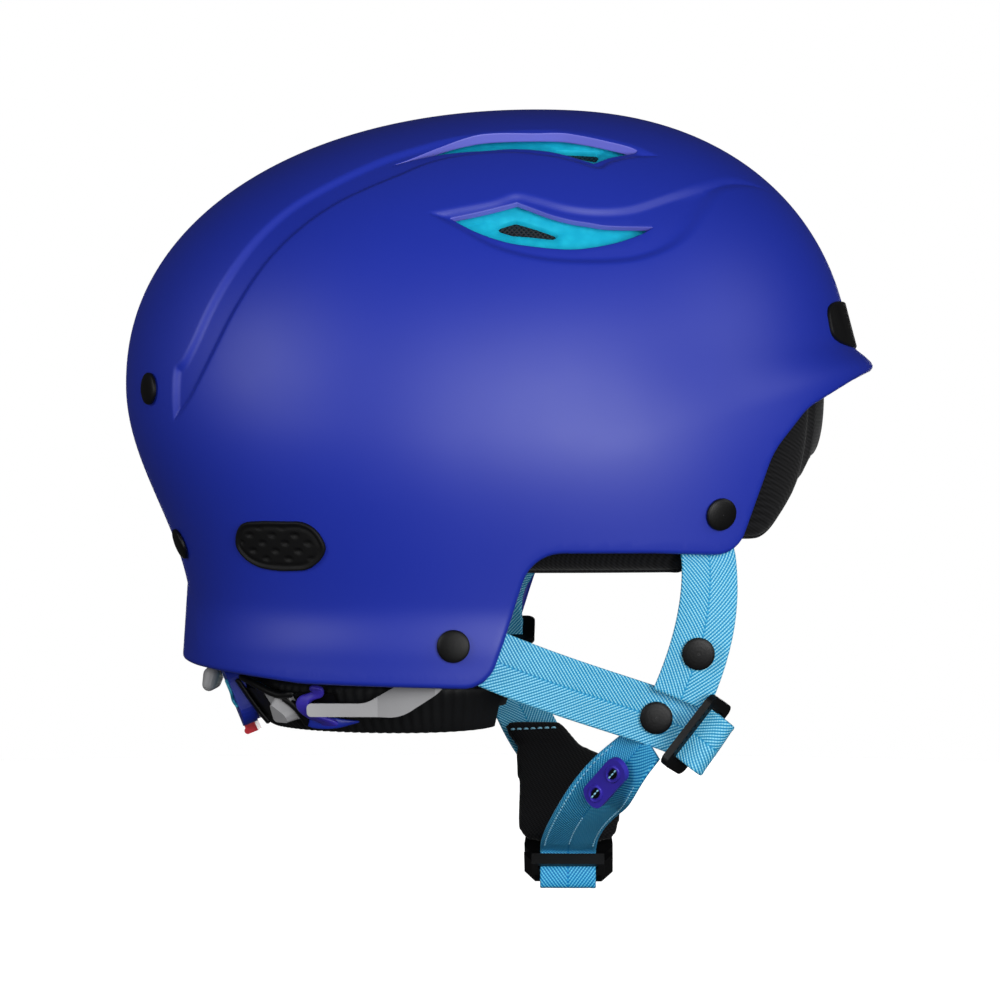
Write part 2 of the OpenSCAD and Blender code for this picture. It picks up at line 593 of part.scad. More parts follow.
// Places in the buckle's frame, and on its ladder frame
function buckle_point(x, z) = buckle_at + buckle_dir * x + buckle_out * z;
function ladder_at(x, z) = buckle_point(
  socket_l + 5 + x * cos(ladder_lift) - z * sin(ladder_lift), -x * sin(ladder_lift) - z * cos(ladder_lift));
// Place at the inner face of a strap at step i, lifted off it
function strap_back(path, w, i, lift) =
  let(f = strap_face(path, w, i, 0)) f[0] - f[1] * (web_t + lift);
// Outward face of a strap at step i: its point and normal
function strap_face(path, w, i, lift) =
  let(n = unit(cross(w[i], path[i + 1] - path[i - 1])), o = n * (n[0] * path[i][0] < 0 ? -1 : 1))
  [path[i] + o * (web_t / 2 + lift), o];
snaps = [strap_face(near_front, near_front_w, 9, 0.8), strap_face(near_rear, near_rear_w, 9, 1.5)];
snap_r = 5.5;
keeper_t = 2;
keeper_face = strap_face(near_chin, near_chin_w, 3, keeper_t / 2 + 7 * fit_gap);

module post_hole(at) on_shell(at) cylinder(h = 24, r = post_r + fit_gap, center = true, $fn = 24);
module front_strap_right() color(web_blue) difference() {
  ribbon(near_front, near_front_w, web_t);
  mirror([1, 0, 0]) post_hole(rivet_front);
}
module front_strap_left() color(web_blue) difference() {
  ribbon(far_front, far_front_w, web_t);
  post_hole(rivet_front);
}
module rear_strap_right() color(web_blue) difference() {
  ribbon(near_rear, near_rear_w, web_t);
  mirror([1, 0, 0]) post_hole(rivet_rear);
}
module rear_strap_left() color(web_blue) difference() {
  ribbon(far_rear, far_rear_w, web_t);
  post_hole(rivet_rear);
}
module chin_strap_right() color(web_blue) ribbon(near_chin, near_chin_w, web_t);
module chin_strap_left() color(web_blue) ribbon(far_chin, far_chin_w, web_t);

// Two-slot frame, long along its +X, that grips the webbing
module slider() {
  difference() {
    translate([0, 0, -slider_t / 2]) linear_extrude(slider_t) hull()
      for (x = [-1, 1], y = [-1, 1])
        translate([x * (slider_l / 2 - 3), y * (slider_h / 2 - 3)]) circle(r = 3, $fn = 24);
    for (y = [-1, 1])
      translate([0, y * slot_pitch / 2, 0]) cube([web_w + 2 * slot_gap, slot_h, 20], center = true);
  }
  for (k = [-4 : 4])
    translate([k * 2.4, slider_h / 2 - 1.4, slider_t / 2 - 0.05]) cube([0.9, 1.6, 0.5], center = true);
}
// Frame whose +X runs along a, with +Z along n
module aligned(at, a, n) {
  x = unit(a);
  z = unit(n - x * (n * x));
  y = cross(z, x);
  multmatrix([[x[0], y[0], z[0], at[0]], [x[1], y[1], z[1], at[1]], [x[2], y[2], z[2], at[2]], [0, 0, 0, 1]])
    children();
}
module slider_right() color(black) aligned(near_slider, near_bar, near_axis) slider();
module slider_left() color(black) aligned(far_slider, far_bar, far_axis) slider();
module strap_snaps() color(black)
  for (s = snaps) aligned(s[0], [0, 1, 0], s[1]) {
    rotate_extrude($fn = 40) polygon(concat([[0, 0], [snap_r, 0]],
      [for (i = [0 : 6]) [snap_r * cos(90 * i / 6), 0.7 + 0.9 * sin(90 * i / 6)]]));
  }

// Padded fabric flap behind the buckle
module chin_guard() color(black) {
  n = len(guard_path) - 1;
  ring_skin([for (i = [0 : n])
    let(along = guard_path[min(n, i + 1)] - guard_path[max(0, i - 1)], hw = guard_half(i / n))
    let(u = unit(cross([0, hw, 0], along)), c = guard_path[i])
    let(thick = function(k) guard_t * (0.25 + 0.25 * sqrt(1 - pow(k / 4, 4))))
    concat([for (k = [4 : -1 : -4]) c + [0, hw * k / 4, 0] + u * thick(k)],
      [for (k = [-4 : 4]) c + [0, hw * k / 4, 0] - u * thick(k)])]);
}

// Outline of one prong, on its own side of the guide
prong = rounded([[socket_l + 0.5, 4, 0], [socket_l + 0.5, inner_w / 2 - 2, 0], [20.5, inner_w / 2 - 1.2, 2],
  [20, inner_w / 2 - 0.3, 0.5], [12, inner_w / 2 - 0.3, 3], [9, inner_w / 2 - 3, 1],
  [10, inner_w / 2 - 5, 1],
  [21, inner_w / 2 - 6, 4]]);
// Side-release buckle. Its +X runs from the socket's closed end towards the plug.
module buckle_frame() aligned(buckle_at, buckle_dir, buckle_out) children();
module socket_outline() hull() {
  for (y = [-1, 1]) translate([socket_l - 4, y * (socket_w / 2 - 4)]) circle(r = 4, $fn = 32);
  for (y = [-1, 1]) translate([3, y * (socket_w / 2 - 5)]) circle(r = 3, $fn = 32);
}
module buckle_socket() color(black) buckle_frame() difference() {
  union() {
    translate([0, 0, -socket_t / 2]) linear_extrude(socket_t) socket_outline();
    translate([-9, -web_w / 2 - 3, -2]) cube([12, web_w + 6, 4]);
  }
  // Cavity for the plug, open at the mouth and at both sides
  translate([socket_wall + 2, -inner_w / 2, -inner_t / 2]) cube([socket_l, inner_w, inner_t]);
  translate([9, -socket_w, -inner_t / 2]) cube([11, 2 * socket_w, inner_t]);
  // Slot for the sewn webbing
  translate([-6, -web_w / 2 - slot_gap, -10]) cube([3.4, web_w + 2 * slot_gap, 20]);
  // Grooves on the face
  for (x = [4, 6.5]) translate([x, -8, socket_t / 2 - 0.5]) cube([1.2, 16, 2]);
}
module buckle_plug() color(black) buckle_frame() {
  difference() {
    union() {
      translate([socket_l + fit_gap, -socket_w / 2, -socket_t / 2]) linear_extrude(socket_t)
        hull() {
          square([1, socket_w]);
          translate([5, 4]) square([1, socket_w - 8]);
        }
      // Ladder frame that the near webbing runs through
      translate([socket_l + 5, -ladder_w / 2, 0]) rotate([0, ladder_lift, 0])
        translate([0, 0, -2]) cube([ladder_l, ladder_w, 4]);
    }
    translate([socket_l + 5, -ladder_w / 2, 0]) rotate([0, ladder_lift, 0])
      for (x = ladder_slots) translate([x, (ladder_w - web_w) / 2 - slot_gap, -10])
        cube([ladder_slot, web_w + 2 * slot_gap, 20]);
  }
  // Centre guide and two sprung prongs
  translate([8, -2.5, -plug_t / 2]) cube([socket_l - 7, 5, plug_t]);
  for (s = [-1, 1])
    translate([0, 0, -plug_t / 2]) linear_extrude(plug_t) polygon([for (p = prong) [p[0], s * p[1]]]);
}

// Keeper with two eyelets round the near chin strap
module strap_keeper() color([0.24, 0.2, 0.7])
  aligned(keeper_face[0], near_chin[4] - near_chin[2], keeper_face[1]) difference() {
    linear_extrude(keeper_t, center = true) hull()
      for (x = [-1, 1]) translate([x * 9, 0]) circle(r = 4.5, $fn = 32);
    for (x = [-1, 1]) translate([x * 7, 0]) linear_extrude(10, center = true) hull()
      for (k = [-1, 1]) translate([k * 1.6, 0]) circle(r = 1.4, $fn = 24);
  }

// Cradle parts. A leaning ring sector round the neck, from angle a0 to a1 off the rear centre.
function lean_at(z) = (z - nape_z) * tan(neck_lean);
module neck_ring(r0, r1, z0, z1, a0, a1) {
  translate([0, neck_y, 0]) rotate([0, 0, 90 + min(a0, a1)]) rotate_extrude(angle = abs(a1 - a0), $fn = 96)
    polygon([[r0 + lean_at(z0), z0], [r1 + lean_at(z0), z0],
      [r1 + lean_at(z1), z1], [r0 + lean_at(z1), z1]]);
}
module cradle_band() color(black) {
  difference() {
    for (s = [-1, 1])
      neck_ring(band_r0, band_r1, band_z0, band_z1, s * band_start, s * band_end);
    for (s = [-1, 1], a = [42 : 4 : 54])
      translate([0, neck_y, 0]) rotate([0, 0, 90 + s * a])
        translate([band_r0 - 6, -1, nape_z - 2]) cube([16, 2, 4]);
  }
}
module nape_pad() color(black) {
  n = 44;
  ring_skin([for (i = [0 : n])
    let(a = -pad_end + 2 * pad_end * i / n, edge = sqrt(1 - pow(abs(2 * i / n - 1), 6)))
    let(rib = 0.7 * cos(360 * i / 2.2), t = nape_t * (0.5 + 0.5 * edge) - 0.7 + rib * edge)
    let(dir = [-sin(a), cos(a)], h = nape_h * (0.72 + 0.28 * edge) / 2)
    [for (q = [[0, -1], [0, 0], [0, 1], [0.6, 0.96], [1, 0.6], [1, 0], [1, -0.6], [0.6, -0.96]])
      let(r = band_r0 - fit_gap - t * q[0] + lean_at(nape_z + q[1] * h))
      [dir[0] * r, neck_y + dir[1] * r, nape_z + q[1] * h]]]);
}
// Leaning frame at the rear centre
module housing_frame() translate([0, housing_y, housing_z]) rotate([-housing_lean, 0, 0]) children();
module housing_plate(t0, t1, w, h, r) intersection() {
  translate([0, -housing_r, 0]) rotate([0, 0, 60]) rotate_extrude(angle = 60, $fn = 96)
    translate([housing_r + t0, -40]) square([t1 - t0, 80]);
  rotate([90, 0, 0]) linear_extrude(80, center = true) hull()
    for (x = [-1, 1], z = [-1, 1]) translate([x * (w / 2 - r), z * (h / 2 - r)]) circle(r = r, $fn = 32);
}
module cradle_housing() color(blue) housing_frame() difference() {
  housing_plate(0, housing_t, housing_w, housing_h, 7);
  translate([0, housing_t - 1.5, inlay_z]) housing_plate(0, 10, inlay_w, inlay_h, 5);
  translate([-button_w / 2 - fit_gap, -4, -housing_h / 2 - 1])
    cube([button_w + 2 * fit_gap, 14, 1 + button_l - button_proud + fit_gap]);
}
// Light inlay set in the housing's recess
module cradle_inlay() color(cyan) housing_frame()
  translate([0, housing_t - 1.5, inlay_z])
    housing_plate(0.3, 1.5, inlay_w - 2 * fit_gap, inlay_h - 2 * fit_gap, 4.7);
module rear_grip() color(grey) housing_frame() difference() {
  translate([0, housing_t + 0.3, housing_h / 2 - 3]) hull() {
    for (x = [-1, 1]) translate([x * 8, 3, 1]) sphere(r = 3, $fn = 20);
    for (x = [-1, 1]) translate([x * 9, 5, -1.8]) sphere(r = 2.4, $fn = 20);
  }
  translate([0, 0.3, 0]) housing_plate(-1, housing_t, housing_w + 2, housing_h + 2, 7);
}
module release_button() color([0.8, 0.05, 0.14]) housing_frame()
  translate([-button_w / 2, -0.5, -housing_h / 2 - button_travel - button_proud]) {
    translate([0, 1, 0]) cube([button_w, housing_t - 1, button_l]);
    translate([0, housing_t - 0.5, 1.2]) rotate([0, 90, 0]) cylinder(h = button_w, r = 1.2, $fn = 24);
  }
module squeeze_tab() color(grey) {
  neck_ring(band_r1 + fit_gap, band_r1 + 2.6, band_z0 + 0.5, band_z1 - 0.5, tab_a - 5, tab_a + 5);
  translate([0, neck_y, 0]) rotate([0, 0, 90 + tab_a]) translate([band_r1 + 2, 0, nape_z])
    rotate([0, 90 + neck_lean, 0]) linear_extrude(4, scale = 0.75)
      polygon(rounded([[5.8, -5.5, 1.5], [-5.2, -1, 1.5], [1.5, 6, 4], [5.8, 5, 2]]));
}
// Clip that carries the cradle on a side arm
module clip() color(blue) {
  h = arm_h + 2 * slide_gap;
  difference() {
    union() {
      translate([clip_x0, clip_y - clip_l / 2, arm_z - h / 2 - 2.4])
        cube([clip_x1 - clip_x0, clip_l, h + 4.8]);
      translate([clip_x0, clip_y - clip_l / 2 - 6, arm_z - h / 2 - 4.4]) cube([4, clip_l + 8, 3.6]);
      intersection() {
        neck_ring(band_r1 + 0.02, band_r1 + 14, band_z0 + 1, band_z1 - 1, -66, -50);
        translate([clip_x0 - 6, clip_y - clip_l / 2, band_z0]) cube([10, clip_l + 12, 30]);
      }
    }
    translate([arm_x - arm_t / 2 - slide_gap, clip_y - 30, arm_z - h / 2])
      cube([arm_t + 2 * slide_gap, 60, h]);
  }
}

module mirrored() mirror([1, 0, 0]) children();

outer_shell();
impact_liner();
vent_mesh();
mirrored() side_bumper();  // side_bumper_right
side_bumper();  // side_bumper_left
front_bumper();
front_strap_rivets();
rear_strap_rivets();
upper_cradle_rivets();
lower_cradle_rivets();
brow_pad();
mirrored() side_pad();  // side_pad_right
side_pad();  // side_pad_left
crown_pad();
rear_pad();
suspension_strips();
mirrored() arm();  // arm_right
arm();  // arm_left
front_strap_right();
front_strap_left();
rear_strap_right();
rear_strap_left();
slider_right();
slider_left();
strap_snaps();
chin_strap_right();
chin_strap_left();
chin_guard();
buckle_socket();
strap_keeper();
buckle_plug();
cradle_housing();
cradle_inlay();
cradle_band();
nape_pad();
mirrored() clip();  // clip_right
clip();  // clip_left
rear_grip();
squeeze_tab();  // squeeze_tab_right
mirrored() squeeze_tab();  // squeeze_tab_left
release_button();
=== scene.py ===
from math import acos, cos, pi, radians as rad, sin, tan
import bpy
import bmesh
import numpy as np
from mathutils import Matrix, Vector
from mathutils.geometry import delaunay_2d_cdt


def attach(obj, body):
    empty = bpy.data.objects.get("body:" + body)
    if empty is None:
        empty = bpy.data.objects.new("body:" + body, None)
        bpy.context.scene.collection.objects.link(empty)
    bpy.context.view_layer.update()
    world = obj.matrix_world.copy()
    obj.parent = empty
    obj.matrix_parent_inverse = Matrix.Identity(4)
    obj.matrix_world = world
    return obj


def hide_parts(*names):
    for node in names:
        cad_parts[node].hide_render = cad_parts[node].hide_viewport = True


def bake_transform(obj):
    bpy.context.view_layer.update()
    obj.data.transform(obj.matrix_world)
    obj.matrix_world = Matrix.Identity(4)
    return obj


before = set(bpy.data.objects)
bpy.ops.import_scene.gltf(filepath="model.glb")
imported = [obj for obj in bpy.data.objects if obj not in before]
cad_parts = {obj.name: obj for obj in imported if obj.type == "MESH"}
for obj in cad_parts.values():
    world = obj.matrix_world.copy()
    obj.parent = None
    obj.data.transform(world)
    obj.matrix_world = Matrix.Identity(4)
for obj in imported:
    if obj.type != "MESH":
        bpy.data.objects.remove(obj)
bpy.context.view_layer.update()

# Sizes are in mm here, as in the part's source; mesh() turns them into metres.
ROOT = "helmet"


def add(name, data):
    ob = bpy.data.objects.new(name, data)
    bpy.context.scene.collection.objects.link(ob)
    return ob


# ------------ camera
TARGET = np.array([0.0, -4.8, -13.6])
BACK = np.array([-0.9994, -0.035, 0.0087])
BACK = BACK / np.linalg.norm(BACK)
CAMERA_FAR, LENS_MM, SENSOR_MM, PICTURE_MIDDLE = 1300, 131.1, 36, 500
EYE = TARGET + BACK * CAMERA_FAR
cam_data = bpy.data.cameras.new("camera")
cam_data.lens = LENS_MM
cam_data.sensor_width = SENSOR_MM
cam_data.clip_start = 0.01
camera = add("camera", cam_data)
camera.location = Vector(EYE / 1000)
camera.rotation_euler = Vector(-BACK).to_track_quat("-Z", "Y").to_euler()
bpy.context.scene.camera = camera

# ------------ shell math
CROWN, HALF_W, FRONT, REAR = 125.0, 108.0, 110.0, 148.0
WALL, BRIM_OUT, RIM_KICK, SINK = 3.8, 7.5, 3.0, 1.45
ARCH_DROP, RIM_DROP, LINER_T, PAD_T, PAD_IN = 31.0, 76.0, 14.0, 6.0, 19.1
PLAN_N, FRONT_N, REAR_N, SIDE_N = 2.15, 2.25, 2.15, 2.12
MID_Y, FRONT_EQ, REAR_EQ, SIDE_EQ = -20.0, 24.5, 27.5, 12.0
WIDE, REAR_TUCK, SIDE_TUCK, FRONT_TUCK = 0.53, 23.0, 20.0, 6.0
BLOCK = 4000             # how many points are compared with a line at a time
# Unrolled length from the crown to the dome's widest height is RHO times a quarter turn
RHO = 110.0


def unit(v):
    v = np.asarray(v, float)
    return v / np.maximum(np.linalg.norm(v, axis=-1, keepdims=True), 1e-12)


def ease(t):
    return (1 - np.cos(np.pi * np.clip(t, 0, 1))) / 2


def share(z, eq, n, d):
    t = np.clip((z - eq) / (CROWN - d - eq), 0, 1)
    return np.power(np.maximum(0, 1 - np.power(t, n)), 1 / n)


def front_y(z, d=0.0):
    return MID_Y - (FRONT - d) * share(z, FRONT_EQ, FRONT_N, d) + FRONT_TUCK * ease((FRONT_EQ - z) / 60)


def rear_y(z, d=0.0):
    return MID_Y + (REAR - d) * share(z, REAR_EQ, REAR_N, d) - REAR_TUCK * ease((REAR_EQ - z) / 83)


def half_w(z, d=0.0):
    return (HALF_W - d) * share(z, SIDE_EQ, SIDE_N, d) - SIDE_TUCK * ease((SIDE_EQ - z) / 90)


def flare(z, c):
    return (BRIM_OUT * np.maximum(0, c) ** 2 * ease((43 - z) / (9.5 + 52 * (1 - np.maximum(0, c))))
            + RIM_KICK * ease((-48 - z) / 18) * np.where(c < 0, 1, 1 - c))


def ends(z, d=0.0):
    """Front, rear and widest place of the layer at height z."""
    y0, y1 = front_y(z, d), rear_y(z, d)
    return y0, y1, y0 + WIDE * (y1 - y0)


def layer_point(z, phi, d=0.0):
    """Point of the layer at inset d; phi in degrees, 0 at the front and 90 on the wearer's left."""
    z, phi = np.broadcast_arrays(np.asarray(z, float), np.radians(np.asarray(phi, float)))
    c, s, e = np.cos(phi), np.sin(phi), 2 / PLAN_N
    y0, y1, yc = ends(z, d)
    cx, cy, f = np.sign(s) * np.abs(s) ** e, np.sign(c) * np.abs(c) ** e, flare(z, c)
    return np.stack([(half_w(z, d) + f) * cx, yc - (np.where(c > 0, yc - y0, y1 - yc) + f) * cy, z], -1)


def half_x(y, z, d=0.0):
    """Half width of the layer at a side-view place."""
    y0, y1, yc = ends(z, d)
    reach = np.maximum(np.where(y < yc, yc - y0, y1 - yc), 1e-6)
    c = np.sign(yc - y) * np.minimum(1, np.abs(y - yc) / reach) ** (PLAN_N / 2)
    f = flare(z, c)
    off = np.minimum(1, np.abs(y - yc) / (reach + f))
    return (half_w(z, d) + f) * np.maximum(0, 1 - off ** PLAN_N) ** (1 / PLAN_N)


def slopes(y, z):
    """How the half width grows to the rear and upward at a side-view place."""
    return (half_x(y + 1, z) - half_x(y - 1, z)) / 2, (half_x(y, z + 1) - half_x(y, z - 1)) / 2


def normal_at(y, z):
    a, b = slopes(y, z)
    return unit(np.stack([np.ones(np.shape(y)), -a, -b], -1))


def inside(at, s):
    """Middle of a strap that lies under the shell at a side-view place, on side s."""
    q = np.array([float(half_x(at[0], at[1])), at[0], at[1]]) - normal_at(*at) * WEB_IN
    return np.array([s * q[0], q[1], q[2]])


def behind(y, z, gap):
    """Place on side +X, this far inward of the shell's side."""
    return np.array([float(half_x(y, z)) - gap, y, z])


def tangent(at, dy, dz, s):
    """Direction in the shell's face that runs dy and dz in side view, on side s."""
    a, b = slopes(*at)
    return unit([s * (float(a) * dy + float(b) * dz), dy, dz])


# The dome is unrolled about its crown: a place (u, v) lies hypot(u, v) from it, in the direction phi.
def unrolled(u, v):
    rho = np.hypot(u, v)
    z = np.where(rho < RHO * np.pi / 2, SIDE_EQ + (CROWN - SIDE_EQ) * np.cos(np.minimum(rho / RHO, np.pi / 2)),
                 SIDE_EQ - (rho - RHO * np.pi / 2))
    return z, np.degrees(np.arctan2(u, -v))


def skin_point(u, v):
    return layer_point(*unrolled(u, v))


def skin_frame(u, v, h=0.25):
    """Points, outward normals and the two derivatives of the shell's face."""
    u, v = np.asarray(u, float), np.asarray(v, float)
    du = (skin_point(u + h, v) - skin_point(u - h, v)) / (2 * h)
    dv = (skin_point(u, v + h) - skin_point(u, v - h)) / (2 * h)
    n = unit(np.cross(dv, du))
    p = skin_point(u, v)
    out = np.sum(n * (p - np.array([0, 0, -20])), -1, keepdims=True)
    return p, n * np.sign(out), du, dv


def unroll_side(y, z, s):
    """Unrolled place of a point of the shell, from its side view, on side s."""
    y, z = np.asarray(y, float), np.asarray(z, float)
    rho = np.where(z > SIDE_EQ, RHO * np.arccos(np.clip((z - SIDE_EQ) / (CROWN - SIDE_EQ), -1, 1)),
                   RHO * np.pi / 2 + SIDE_EQ - z)
    y0, y1, yc = ends(z)
    c, f = np.where(y < yc, yc - y0, y1 - yc), 0
    for _ in range(5):
        off = np.minimum(1, np.abs(y - yc) / (c + f))
        phi = np.arccos(np.clip(np.sign(yc - y) * off ** (PLAN_N / 2), -1, 1))
        f = flare(z, np.cos(phi))
    return s * rho * np.sin(phi), -rho * np.cos(phi)


def rounded(points, steps=8):
    """Outline through points [y, z, radius], each corner rounded."""
    out, n = [], len(points)
    at = [np.array(p[:2], float) for p in points]
    for i, p in enumerate(points):
        if p[2] <= 0:
            out.append(at[i])
            continue
        a, b = unit(at[i - 1] - at[i]), unit(at[(i + 1) % n] - at[i])
        h = acos(max(-1, min(1, float(a @ b)))) / 2
        centre = at[i] + unit(a + b) * p[2] / sin(h)
        start = at[i] + a * p[2] / tan(h) - centre
        turn = (-1 if a[0] * b[1] - a[1] * b[0] > 0 else 1) * (pi - 2 * h)
        for k in range(steps + 1):
            w = turn * k / steps
            out.append(centre + np.array([start[0] * cos(w) - start[1] * sin(w),
                                          start[0] * sin(w) + start[1] * cos(w)]))
    return np.array(out)


def rim_line(up):
    """Side-view line of the shell's rim, from front to rear, lifted by up."""
    d, a = RIM_DROP, ARCH_DROP
    line = rounded([[160, -120, 0], [160, -62 + up, 0], [100, 5 - d + up, 30], [60, 1 - d + up, 60],
                    [-4, -d + up, 12], [-19, -a + up, 14], [-60, -a + up, 0], [-87.5, -1 - a + up, 11],
                    [-100, 3 + up, 30], [-112, 18 + up, 20], [-128, 27.5 + up, 20], [-160, 44 + up, 0]], 10)[1:]
    return line[::-1]


def run_length(line):
    return np.concatenate([[0], np.cumsum(np.linalg.norm(np.diff(line, axis=0), axis=1))])


def rows_at(at, run, rows):
    return np.stack([np.interp(at, run, rows[:, k]) for k in range(rows.shape[1])], 1)


def resample(path, step, closed=False):
    """Even places along a polyline."""
    path = np.asarray(path, float)
    if closed:
        path = np.vstack([path, path[:1]])
    run = run_length(path)
    n = max(3, int(round(run[-1] / step)))
    out = rows_at(np.linspace(0, run[-1], n + 1), run, path)
    return out[:-1] if closed else out


def smooth_path(points, per=8, closed=False):
    """Catmull-Rom line through the points."""
    p = np.asarray(points, float)
    n = len(p)
    get = (lambda i: p[i % n]) if closed else (lambda i: p[min(max(i, 0), n - 1)])
    out = []
    for i in range(n if closed else n - 1):
        a, b, c, d = get(i - 1), get(i), get(i + 1), get(i + 2)
        for k in range(per):
            t = k / per
            out.append(0.5 * (2 * b + (c - a) * t + (2 * a - 5 * b + 4 * c - d) * t ** 2
                              + (3 * b - a - 3 * c + d) * t ** 3))
    if not closed:
        out.append(p[-1])
    return np.array(out)


def in_polygon(places, poly):
    x, y = places[:, 0], places[:, 1]
    hit = np.zeros(len(places), bool)
    for (x0, y0), (x1, y1) in zip(np.roll(poly, 1, 0), poly):
        if y1 != y0:
            hit ^= ((y0 > y) != (y1 > y)) & (x < (x1 - x0) * (y - y0) / (y1 - y0) + x0)
    return hit


def line_distance(points, line):
    """Distance from each point to a closed line, and the nearest of the line's points."""
    k = np.concatenate([np.linalg.norm(points[i:i + BLOCK, None] - line[None], axis=2).argmin(1)
                        for i in range(0, len(points), BLOCK)])
    best = np.full(len(points), np.inf)
    for step in (-1, 1):
        a, b = line[k], line[(k + step) % len(line)]
        t = np.clip(np.sum((points - a) * (b - a), 1) / np.maximum(np.sum((b - a) ** 2, 1), 1e-9), 0, 1)
        best = np.minimum(best, np.linalg.norm(points - a - (b - a) * t[:, None], axis=1))
    return best, k


def within(points, line, reach):
    """Which points lie nearer than reach to the line's points."""
    hit = np.zeros(len(points), bool)
    for i in range(0, len(line), 60):
        part = line[i:i + 60]
        lo, hi = part.min(0) - reach, part.max(0) + reach
        k = np.flatnonzero(((points > lo) & (points < hi)).all(1) & ~hit)
        if len(k):
            d = np.linalg.norm(points[k, None] - part[None], axis=2).min(1)
            hit[k[d < reach]] = True
    return hit


# ------------ materials
mat = {}


def new_material(name, colour, rough=0.5, specular=0.4):
    m = mat[name] = bpy.data.materials.new(name)
    m.use_nodes = True
    b = m.node_tree.nodes["Principled BSDF"]
    b.inputs["Base Color"].default_value = (*colour, 1)
    b.inputs["Roughness"].default_value = rough
    b.inputs["Specular IOR Level"].default_value = specular
    return m


def srgb(r, g, b):
    return tuple((c / 255 / 12.92) if c <= 10 else ((c / 255 + 0.055) / 1.055) ** 2.4 for c in (r, g, b))


class Graph:
    """Short calls that add nodes to a material or a world."""

    def __init__(self, owner):
        self.t = owner.node_tree
        self.bsdf = self.t.nodes.get("Principled BSDF")

    def node(self, kind, inputs=(), **settings):
        n = self.t.nodes.new(kind)
        for k, v in settings.items():
            setattr(n, k, v)
        for k, v in inputs.items() if isinstance(inputs, dict) else enumerate(inputs):
            if isinstance(v, bpy.types.NodeSocket):
                self.t.links.new(v, n.inputs[k])
            elif v is not None:
                n.inputs[k].default_value = v
        return n

    def math(self, op, a, b=None):
        return self.node("ShaderNodeMath", [a, b], operation=op).outputs[0]

    def place(self):
        return self.node("ShaderNodeTexCoord").outputs["Object"]

    def axes(self):
        return self.node("ShaderNodeSeparateXYZ", [self.place()]).outputs

    def wave(self, value, pitch):
        return self.math("SINE", self.math("MULTIPLY", value, 2 * pi / pitch))

    def noise(self, scale, detail=2.0, rough=0.5):
        return self.node("ShaderNodeTexNoise", {"Vector": self.place(), "Scale": scale, "Detail": detail,
                                                "Roughness": rough}).outputs["Fac"]

    def ramp(self, value, stops):
        n = self.node("ShaderNodeValToRGB", [value])
        for e, (pos, col) in zip(n.color_ramp.elements, stops):
            e.position = pos
            e.color = (*col, 1)
        for pos, col in stops[2:]:
            n.color_ramp.elements.new(pos).color = (*col, 1)
        return n.outputs["Color"]

    def spread(self, value, a, b, c, d):
        return self.node("ShaderNodeMapRange", [value, a, b, c, d]).outputs[0]

    def bump(self, height, distance, strength=1.0, under=None):
        return self.node("ShaderNodeBump", {"Strength": strength, "Distance": distance, "Height": height,
                                            "Normal": under}).outputs["Normal"]

    def set(self, name, socket):
        self.t.links.new(socket, self.bsdf.inputs[name])


def plastic(name, colour, rough=0.38, grain=1500, depth=0.00003, specular=0.4, spread=0.12, patchy=0.05):
    """Moulded plastic: fine grain, slight change of colour and gloss over it."""
    colour = srgb(*colour)
    g = Graph(new_material(name, colour, rough, specular))
    dark = tuple(c * (1 - spread) for c in colour)
    light = tuple(min(1, c * (1 + spread)) for c in colour)
    g.set("Base Color", g.ramp(g.noise(28, 3), [(0.3, dark), (0.7, light)]))
    g.set("Roughness", g.spread(g.noise(90, 4), 0.3, 0.7, rough - patchy, rough + patchy))
    g.set("Normal", g.bump(g.noise(grain, 2, 0.6), depth, 0.6))


def knit(name, colour, pitch, depth):
    """Fine knit: small rounded loops in rows, with a soft sheen."""
    colour = srgb(*colour)
    g = Graph(new_material(name, colour, 0.9, 0.15))
    x, y, z = g.axes()
    a = g.wave(g.math("ADD", y, g.math("MULTIPLY", x, 0.6)), pitch)
    b = g.wave(g.math("ADD", z, g.math("MULTIPLY", x, 0.35)), pitch)
    loops = g.math("MULTIPLY", a, b)
    h = g.math("ADD", g.math("MULTIPLY", loops, 0.5), g.math("MULTIPLY", g.noise(2600, 1), 0.35))
    dark, light = tuple(c * 0.5 for c in colour), tuple(c * 1.9 + 0.006 for c in colour)
    g.set("Base Color", g.ramp(g.spread(h, -0.4, 0.8, 0, 1), [(0.1, dark), (0.9, light)]))
    g.set("Normal", g.bump(h, depth, 0.9, g.bump(g.noise(60, 3), 0.0006, 0.4)))
    g.bsdf.inputs["Sheen Weight"].default_value = 0.12
    g.bsdf.inputs["Sheen Roughness"].default_value = 0.4


